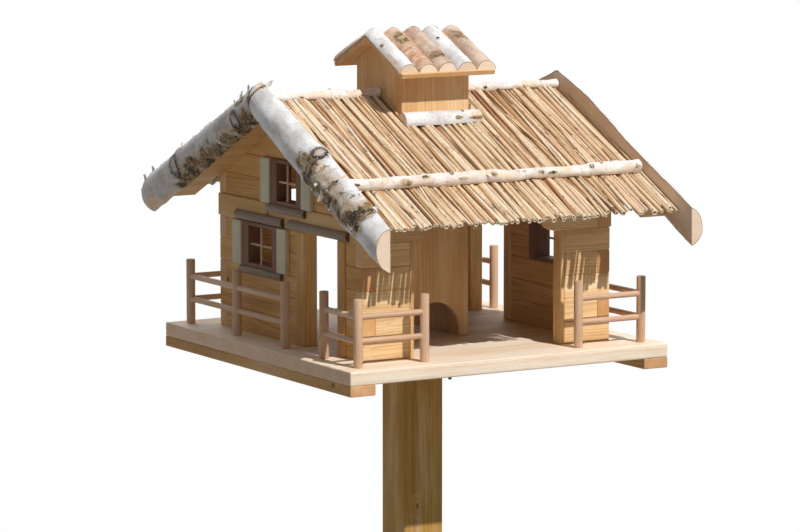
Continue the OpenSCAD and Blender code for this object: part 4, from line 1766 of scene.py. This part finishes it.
@dataclass
class ReedBed:
    """The reeds of one slope, laid in three layers and trimmed at the eave.

    A stray's span is its least gap to the silo and its furthest place along the ridge. Its
    tip keeps the first distance from the ridge line and the second from the eave.
    """

    name: str
    side: int
    seed: int
    trim: float = 0.0075
    most_trims: float = 2.2
    overhang: float = 0.034
    end_gap: float = 0.005
    ridge_gap: float = 0.004
    silo_gap: float = 0.002
    radius: float = 0.0031
    radius_spread: float = 0.0008
    thinnest: float = 0.0020
    thin: tuple[float, float] = (0.11, 0.225)
    loose: tuple[float, float] = (-0.215, -0.12)
    sway: float = 0.006
    waves: float = 23
    askew: float = 0.12
    askew_lean: float = 0.05
    lifts: tuple[float, float] = (-0.0006, 0.0009)
    bow: float = 0.0024
    bow_length: float = 0.25
    strays: int = 14
    stray_span: tuple[float, float] = (0.03, 0.235)
    stray_tip: tuple[float, float] = (0.12, 0.01)
    stray_length: tuple[float, float] = (0.05, 0.13)
    stray_lean: tuple[float, float] = (0.04, 0.14)
    stray_radius: tuple[float, float] = (0.0015, 0.0024)
    stray_tone: tuple[float, float] = (0.2, 0.8)
    stray_rise: float = 0.0028
    # The lower layers' low tones are painted shade: they darken what shows in the gaps between the
    # top reeds.
    layers: tuple[Layer, ...] = (
        Layer(0.0034, 0.10, 0.14, 0.006, 0.0033, (0.034, 0.034, 0.034)),
        Layer(0.0076, 0.34, 0.14, 0.006, 0.0033, (0.003, 0.009, 0.034)),
        Layer(0.0116, 0.62, 0.29, 0.015, 0.0046, (0.0, 0.0, 0.0)),
    )

    def build(self) -> None:
        """Builds and dresses the reed bed."""
        draw = random.Random(self.seed)
        low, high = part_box("front_thatch")
        reach, well = -low.y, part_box("silo_front")
        lowest, middle, top = self.layers
        stalks = []
        for layer in self.layers:
            x = low.x
            while x < high.x - self.end_gap:
                radius = max(self.thinnest, draw.gauss(self.radius, self.radius_spread))
                radius = min(layer.thickest, radius)
                x += radius
                short = draw.choice(layer.shorter)
                if layer is middle and self.thin[0] < abs(x) < self.thin[1]:
                    short = self.overhang
                trims = min(self.most_trims, abs(draw.gauss(0, 1.0)))
                tip = reach - short - trims * self.trim
                beside = abs(x) > well[1].x + radius
                head = self.ridge_gap if beside else self.silo_gap - well[0].y
                sway = self.sway * math.sin(x * self.waves + self.seed)
                lean = draw.gauss(sway, layer.lean)
                if layer is top and draw.random() < self.askew:
                    lean += draw.choice((-self.askew_lean, self.askew_lean))
                lift = draw.uniform(*self.lifts) - max(0, radius - lowest.thickest)
                # The layer's mean tone, which for the lower layers is painted shade.
                tone = min(1, max(0, draw.gauss(layer.tone, layer.tone_spread)))
                stalks.append(self.stalk(x, tip, head, layer.height + lift, radius, lean, tone,
                                         draw))
                x += radius + draw.choice(self.gaps(x) if layer is top else self.gaps(0))
        stalks += [self.stray(reach, well[1].x, draw) for _ in range(self.strays)]
        bed = join(stalks, self.name + "_reeds")
        smooth(bed, 50)
        deliver([bed], bed.name, Finish.STRAW, "reed", self.name)

    def gaps(self, x: float) -> tuple[float, ...]:
        """Lists the gaps that may follow a reed; they are wide where the bed is thin.

        Args:
            x: The reed's place along the ridge.

        Returns:
            The gaps.
        """
        if self.thin[0] < x < self.thin[1]:
            return 0.0004, 0.0018, 0.0030, 0.0042
        if self.loose[0] < x < self.loose[1]:
            return 0.0002, 0.0004, 0.0010, 0.0020
        return 0.0, 0.0, 0.0002, 0.0006, 0.0012

    def stray(self, reach: float, clear: float, draw: random.Random) -> Piece:
        """Lays one short broken reed askew on the others.

        Args:
            reach: Distance of the eave from the ridge line.
            clear: Half width of the silo, which it keeps off.
            draw: Source of the reed's own differences.

        Returns:
            The reed.
        """
        near, far = self.stray_span
        x = draw.choice((-1, 1)) * draw.uniform(clear + near, far)
        tip = draw.uniform(self.stray_tip[0], reach - self.stray_tip[1])
        top = max(near, tip - draw.uniform(*self.stray_length))
        lean = draw.choice((-1, 1)) * draw.uniform(*self.stray_lean)
        return self.stalk(x, tip, top, self.layers[-1].height + self.stray_rise,
                          draw.uniform(*self.stray_radius), lean,
                          draw.uniform(*self.stray_tone), draw)

    def stalk(self, x: float, tip: float, top: float, height: float, radius: float,
              lean: float, tone: float, draw: random.Random) -> Piece:
        """Lays one reed on the slope.

        Args:
            x: Place of its tip along the ridge.
            tip: Distance of the tip from the ridge line.
            top: Distance of its upper end from the ridge line.
            height: Height of its middle over the roof boards.
            radius: Its radius.
            lean: How far it strays sideways for each metre up the slope.
            tone: Its shade, from 0 for dark to 1 for pale.
            draw: Source of the reed's own differences.

        Returns:
            The reed.
        """
        normal, fall = PLAN.normal(self.side), PLAN.fall(self.side)
        up = Vector((lean, -fall.y, -fall.z)).normalized()
        start = Vector((x, self.side * tip, PLAN.down(PLAN.deck_top, tip))) + normal * height
        length = (tip - top) / math.cos(PLAN.pitch)
        piece = copy_of(Patterns.stalk(draw.randrange(4)), "reed")
        points = points_of(piece)
        turn = draw.uniform(0, math.tau)
        around = points[:, :2] @ np.array([[math.cos(turn), math.sin(turn)],
                                           [-math.sin(turn), math.cos(turn)]]) * radius
        along = points[:, 2] * length
        bow = draw.uniform(-self.bow, self.bow) * min(1, length / self.bow_length) ** 2
        bow = bow * np.sin(points[:, 2] * math.pi * draw.uniform(1, 2.5))
        place = (np.array(start) + np.outer(along, up)
                 + np.outer(around[:, 0] + bow, normal.cross(up)) + np.outer(around[:, 1], normal))
        move_points(piece, place)
        grain = [along + draw.uniform(0, 9), around[:, 0] + draw.uniform(0, 3), around[:, 1]]
        store(piece, "grain", np.array(grain).T)
        store(piece, "tone", np.full(len(points), tone))
        return piece


@dataclass
class RoofTimber:
    """Roof boards, the boards under the verges and the birch sticks on the reeds.

    Each crook of a stick has its depth, its length, what its seed differs by and its direction.
    """

    seed: int = 41
    edge: float = 0.0015
    short: float = 0.010
    silo_gap: float = 0.001
    crooks: tuple[tuple[float, float, int, str], ...] = (
        (0.0034, 0.022, 1, "NORMAL"), (0.005, 0.09, 3, "Z"), (0.004, 0.10, 5, "Y"))
    scraps: float = 30

    def build(self) -> None:
        """Builds and dresses the roof's wooden pieces."""
        draw = random.Random(self.seed)
        paint(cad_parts["roof_boards"], Finish.DECK)
        for side in ("left", "right"):
            node = side + "_verge_boards"
            board = saw(softened(node, node + "_timber", self.edge), X, Y, draw)
            deliver([board], board.name, Finish.BEAM, "plank", node)
        self.build_sticks(draw)

    def build_sticks(self, draw: random.Random) -> None:
        """Builds the ridge sticks and the two sticks that hold the reeds down.

        Args:
            draw: Source of the sticks' own differences.
        """
        low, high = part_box("ridge_sticks")
        radius = (high.z - low.z) / 2
        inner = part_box("silo_right_side")[1].x + self.silo_gap
        sticks = []
        for start, end, seed in ((low.x, -inner, 2), (inner, high.x, 9)):
            marks = [bare(draw.uniform(0, 0.2), 70, 0.03, 0.008) for _ in range(2)]
            marks.append(worn(draw.uniform(0.05, 0.15), 80, 0.004, 0.0025))
            ends = (Vector((x, 0, low.z + radius)) for x in (start, end))
            sticks.append(self.stick(*ends, -Y, radius * 1.12, seed, marks))
        hand_over(join(sticks, "ridge_birch_sticks"), "house", "birch_bark", "ridge_sticks")
        low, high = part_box("hold_down_sticks")
        radius = (high.z - low.z) / 2
        sticks = []
        for side in (-1, 1):
            start = Vector((low.x, side * (high.y - radius), low.z + radius))
            end = Vector((high.x - self.short, start.y, start.z))
            sticks.append(self.stick(start, end, side * Y, radius * 1.2, 4 + side,
                                     self.knots(draw)))
        hand_over(join(sticks, "hold_down_birch_sticks"), "house", "birch_bark",
                  "hold_down_sticks")

    def knots(self, draw: random.Random) -> list[Mark]:
        """Draws the knots and the worn places of one long stick.

        Args:
            draw: Source of the stick's own differences.

        Returns:
            The marks.
        """
        marks = [eye(along, draw.uniform(20, 60), 0.0032, 0.0030, 0.0022)
                 for along in (draw.uniform(0.15, 0.2), draw.uniform(0.38, 0.46))]
        for along in (0.03, 0.09, 0.115, 0.15, 0.21, 0.265, 0.31, 0.34, 0.36, 0.46, 0.50, 0.525):
            marks.append(worn(along + draw.uniform(-0.015, 0.015), draw.uniform(20, 95),
                              draw.uniform(0.004, 0.013), draw.uniform(0.003, 0.006), 0.0014, 0.9))
        for along in (0.06, 0.11, 0.24, 0.28, 0.38, 0.50):
            marks.append(bare(along, draw.uniform(30, 90), draw.uniform(0.01, 0.03), 0.008,
                              0.0006))
        return marks

    def stick(self, start: Vector, end: Vector, down: Vector, radius: float, seed: int,
              marks: Sequence[Mark]) -> Piece:
        """Makes one crooked birch stick.

        Args:
            start: Middle of its first end.
            end: Middle of its last end.
            down: The way the roof falls, which a mark's turn of 90 degrees faces.
            radius: Its mean radius.
            seed: Start of its own random draws.
            marks: Marks in its bark.

        Returns:
            The dressed stick.
        """
        draw = random.Random(seed)
        radii = [radius * draw.uniform(0.84, 1.08) for _ in range(8)] + [radius * 1.12]
        limb = Limb(start, end, Z, down, radii, seed, Finish.STICK_BARK, marks, sides=28,
                    rings=130, lumps=(0.0022, 0.0014))
        piece = limb.build()
        for depth, size, shift, direction in self.crooks:
            roughen(piece, depth, size, seed + shift, direction)
        length = (end - start).length
        scraps = limb.fringe(0, length, (-60, 100), int(length * self.scraps))
        return join([limb.dress(piece), *scraps], "stick")


@dataclass
class VergeLog:
    """One split birch log along a verge, sawn face inwards, cut plumb at both ends.

    A fringe is its start, its end, its lowest and highest turn and its number of scraps, and
    a shard is what Limb.scrap takes.
    """

    name: str
    side_x: int
    side_y: int
    seed: int
    bark: Bark
    radii: tuple[float, float, float]
    face_in: float
    marks: tuple[Mark, ...] = ()
    fringes: tuple[tuple[float, float, float, float, int], ...] = ()
    shards: tuple[tuple[float, float, float, float, float], ...] = ()
    spare: float = 0.04

    def build(self) -> None:
        """Builds and dresses the log."""
        low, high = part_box(self.name)
        face = min(abs(low.x), abs(high.x))
        run = max(abs(low.y), abs(high.y))
        apex = high.z - self.radii[0] / math.cos(PLAN.pitch)
        down, normal = PLAN.fall(self.side_y), PLAN.normal(self.side_y)
        axis = Vector((self.side_x * (face - self.face_in), 0, apex))
        length = run / math.cos(PLAN.pitch)
        top, middle, foot = self.radii
        radii = (top, (top + middle) / 2, middle, (middle + foot) / 2, foot)
        marks = [replace(mark, along=mark.along + self.spare) for mark in self.marks]
        limb = Limb(axis - down * self.spare, axis + down * (length + self.spare),
                    self.side_x * X, normal, radii, self.seed, self.bark, marks, sides=72,
                    rings=150, lumps=(0.0034, 0.0016))
        piece = limb.build()
        cut(piece, (self.side_x * face, 0, apex), (-self.side_x, 0, 0))
        cut(piece, axis, (0, -self.side_y, 0))
        cut(piece, axis + self.side_y * run * Y, (0, self.side_y, 0))
        limb.dress(piece)
        scraps = []
        for first, last, *turns, count in self.fringes:
            scraps += limb.fringe(first + self.spare, last + self.spare, turns, count)
        scraps += [limb.scrap(along + self.spare, *shape) for along, *shape in self.shards]
        hand_over(join([piece, *scraps], self.name + "_birch"), "house", "birch_bark", self.name)


def verge_logs() -> list[VergeLog]:
    """Lists the four verge logs with what grows and peels on them.

    Returns:
        The logs.
    """
    knotty = (
        eye(0.204, 63, 0.012, 0.010, 0.006), bare(0.226, 45, 0.012, 0.009),
        worn(0.183, 16, 0.022, 0.020, 0.001), worn(0.212, 4, 0.030, 0.028, 0.002),
        worn(0.248, -10, 0.034, 0.024, 0.001), worn(0.298, -6, 0.040, 0.027),
        worn(0.345, 2, 0.036, 0.030), worn(0.206, 36, 0.020, 0.012),
        worn(0.352, 62, 0.022, 0.045, strength=1.1), worn(0.280, 14, 0.085, 0.036, strength=0.72),
        # The worn ring at the start darkens the bark round the apex end, where this log meets its
        # partner.
        worn(0.0, 60, 0.0022, 0.3, strength=1.3), bare(0.262, 12, 0.018, 0.007),
        bare(0.270, 72, 0.004, 0.012), bare(0.326, 66, 0.004, 0.012), bare(0.0, 70, 0.016, 0.012),
    )
    ragged = (
        eye(0.269, -4, 0.011, 0.017, 0.004), eye(0.055, -17, 0.009, 0.014, 0.003),
        worn(0.060, -62, 0.026, 0.020, 0.001), worn(0.189, -66, 0.026, 0.014),
        worn(0.245, -74, 0.034, 0.014, 0.001), worn(0.284, -72, 0.018, 0.013),
        worn(0.150, -66, 0.130, 0.032, strength=0.85),
        worn(0.235, -60, 0.070, 0.022, strength=0.8),
        worn(0.225, -36, 0.032, 0.014, strength=0.95),
        worn(0.028, -42, 0.022, 0.022, strength=1.15),
        worn(0.100, -48, 0.030, 0.012, strength=0.8), worn(0.040, 40, 0.024, 0.012, strength=0.8),
        # The worn ring at the start darkens the bark round the apex end, where this log meets its
        # partner.
        worn(0.0, 0, 0.004, 0.3, strength=1.3), bare(0.256, 42, 0.008, 0.007, 0.003),
        bare(0.395, -64, 0.045, 0.024), bare(0.340, -84, 0.030, 0.012),
    )
    plain = (
        worn(0.12, 30, 0.02, 0.012), bare(0.25, 40, 0.06, 0.02),
        eye(0.17, -10, 0.008, 0.012, 0.003), bare(0.085, 66, 0.085, 0.016, 0.008, 0.3),
    )
    return [
        VergeLog("front_left_verge_log", -1, -1, 61, Finish.WHITE_BARK, (0.0265, 0.0335, 0.029),
                 0.005, knotty, ((0.17, 0.36, -40, 15, 18), (0.20, 0.40, 60, 100, 6)),
                 ((0.0, 84, 0.014, 0.012, 1.3), (0.002, 62, 0.010, 0.008, 1.0),
                  (0.262, 6, -0.022, 0.018, 0.35), (0.245, -12, -0.014, 0.014, 0.5),
                  (0.290, -10, -0.012, 0.008, 0.6), (0.355, 88, 0.010, 0.010, 1.1))),
        VergeLog("back_left_verge_log", -1, 1, 62, Finish.OLD_BARK, (0.0265, 0.029, 0.029),
                 0.005, ragged,
                 ((0.0, 0.385, 42, 80, 50), (0.0, 0.12, 0, 50, 12), (0.20, 0.3, -70, -30, 10)),
                 ((0.380, 28, 0.014, 0.014, 0.8), (0.384, -14, 0.013, 0.010, 0.7),
                  (0.372, 56, 0.016, 0.014, 1.0), (0.026, 58, 0.018, 0.014, 1.1),
                  (0.040, 50, 0.015, 0.012, 0.8), (0.055, 62, 0.012, 0.010, 1.0),
                  (0.066, 56, 0.009, 0.008, 0.7), (0.262, 58, 0.011, 0.009, 0.8))),
        VergeLog("front_right_verge_log", 1, -1, 63, Finish.WHITE_BARK, (0.0215, 0.02525, 0.0280),
                 0.008, plain),
        VergeLog("back_right_verge_log", 1, 1, 64, Finish.OLD_BARK, (0.0215, 0.029, 0.029),
                 0.008, plain, ((0.0, 0.40, 40, 75, 20),)),
    ]


@dataclass
class Railing:
    """One corner railing of dowel posts and two rails on each side."""

    name: str
    side_x: int
    side_y: int
    bays: int
    post: float = 0.007
    post_edge: float = 0.0012
    rail: float = 0.0045
    rail_edge: float = 0.0006
    low_rail: float = 0.039
    high_rail: float = 0.075

    def build(self) -> None:
        """Builds and dresses the railing."""
        draw = random.Random(self.name)
        low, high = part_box(self.name)
        xs = sorted((low.x, high.x), key=abs)
        ys = sorted((low.y, high.y), key=abs)
        corner = Vector((xs[1] - self.side_x * self.post, ys[1] - self.side_y * self.post, low.z))
        across = Vector((xs[0] + self.side_x * self.post, corner.y, low.z))
        back = Vector((corner.x, ys[0] + self.side_y * self.post, low.z))
        feet = [corner, across]
        feet += [corner.lerp(back, (i + 1) / self.bays) for i in range(self.bays)]
        height = (high.z - low.z) * Z
        parts = [saw(dowel(foot, foot + height, self.post, self.post_edge), Z, X, draw, THIN_STEM)
                 for foot in feet]
        for rise in (self.low_rail, self.high_rail):
            for end, along, width in ((across, X, Y), (back, Y, X)):
                rail = dowel(corner + rise * Z, end + rise * Z, self.rail, self.rail_edge)
                parts.append(saw(rail, along, width, draw, THIN_STEM))
        railing = join(parts, self.name + "_dowels")
        smooth(railing)
        deliver([railing], railing.name, Finish.DOWEL, "dowel", self.name)


# -------- the studio


@dataclass
class Studio:
    """Pale floor, soft daylight from the front right, and the camera."""

    azimuth: float = math.radians(30.65)
    elevation: float = math.radians(7.61)
    distance: float = 6.353
    aim: tuple[float, float, float] = (-0.023, -0.001, 0.1055)
    lens: float = 184.6
    sensor: float = 36
    sight: float = 300
    floor_size: float = 160
    floor_colour: Colour = (0.30, 0.285, 0.265, 1)
    floor_glow: float = 0.71
    floor_white: Colour = (0.93, 0.97, 1, 1)
    sky_colour: Colour = (0.94, 0.97, 1, 1)
    sky_light: float = 0.16
    sky_backdrop: float = 0.9

    def build(self) -> None:
        """Sets up the floor, the world, the lamps and the camera."""
        self.build_floor()
        self.build_light()
        self.build_camera()
        bpy.context.scene.view_settings.view_transform = "Standard"

    def build_floor(self) -> None:
        """Adds a wide pale floor that keeps the object's shadow."""
        bpy.ops.object.select_all(action="DESELECT")
        bpy.ops.mesh.primitive_plane_add(size=self.floor_size)
        floor = bpy.context.object
        floor.name = "studio_floor"
        n = Nodes("studio_floor")
        matt = n.add("BsdfDiffuse", {"Color": self.floor_colour})
        glow = n.add("Emission", {"Color": self.floor_white,
                                  "Strength": n.times(n.seen(), self.floor_glow)})
        both = n.add("AddShader", {0: matt.outputs[0], 1: glow.outputs[0]})
        n.add("OutputMaterial", {0: both.outputs[0]})
        floor.data.materials.append(n.material)

    def build_light(self) -> None:
        """Adds a soft-edged key from the front and an even fill from all sides."""
        n = Nodes("studio", world=True)
        strength = n.fit(n.seen(), self.sky_backdrop, self.sky_light)
        glow = n.add("Background", {"Color": self.sky_colour, "Strength": strength})
        n.add("OutputWorld", {0: glow.outputs[0]})
        bpy.context.scene.world = n.material
        self.add_lamp("key", Vector((0.18, -1, 1.08)), 3.35, 0.8, (1, 0.97, 0.93))
        self.add_lamp("fill", Vector((0.2, 1, 0.8)), 0.9, 50, (0.94, 0.97, 1))

    def add_lamp(self, name: str, towards: Vector, strength: float, spread: float,
                 colour: tuple[float, float, float]) -> None:
        """Adds a far lamp.

        Args:
            name: The lamp's name.
            towards: The direction it stands in.
            strength: Its strength.
            spread: Its width in degrees, which softens its shadows.
            colour: Its colour.
        """
        lamp = bpy.data.lights.new(name, "SUN")
        lamp.energy, lamp.angle, lamp.color = strength, math.radians(spread), colour
        piece = bpy.data.objects.new(name, lamp)
        bpy.context.scene.collection.objects.link(piece)
        piece.rotation_euler = (-towards).to_track_quat("-Z", "Y").to_euler()

    def build_camera(self) -> None:
        """Places the camera a little above the roof's height, in front and to the left."""
        aim = Vector(self.aim) + PLAN.floor * Z
        back = Vector((-math.sin(self.azimuth) * math.cos(self.elevation),
                       -math.cos(self.azimuth) * math.cos(self.elevation),
                       math.sin(self.elevation)))
        camera = bpy.data.objects.new("camera", bpy.data.cameras.new("camera"))
        bpy.context.scene.collection.objects.link(camera)
        camera.data.lens = self.lens
        camera.data.sensor_width = self.sensor
        camera.data.clip_end = self.sight
        camera.location = aim + back * self.distance
        camera.rotation_euler = (-back).to_track_quat("-Z", "Y").to_euler()
        bpy.context.scene.camera = camera


def main() -> None:
    """Builds the sub-assemblies in order, then the studio."""
    logging.basicConfig(level=logging.INFO, format="%(message)s")
    Stand().build()
    Walls().build()
    Gable("left_gable", 1, 5).build()
    Gable("right_gable", -1, 6).build()
    Silo().build()
    Lid().build()
    RoofTimber().build()
    ReedBed("front_thatch", -1, 51).build()
    ReedBed("back_thatch", 1, 52).build()
    for verge_log in verge_logs():
        verge_log.build()
    Railing("front_left_railing", -1, -1, 1).build()
    Railing("front_right_railing", 1, -1, 2).build()
    Railing("back_left_railing", -1, 1, 2).build()
    Railing("back_right_railing", 1, 1, 1).build()
    Studio().build()


if __name__ == "__main__":
    main()
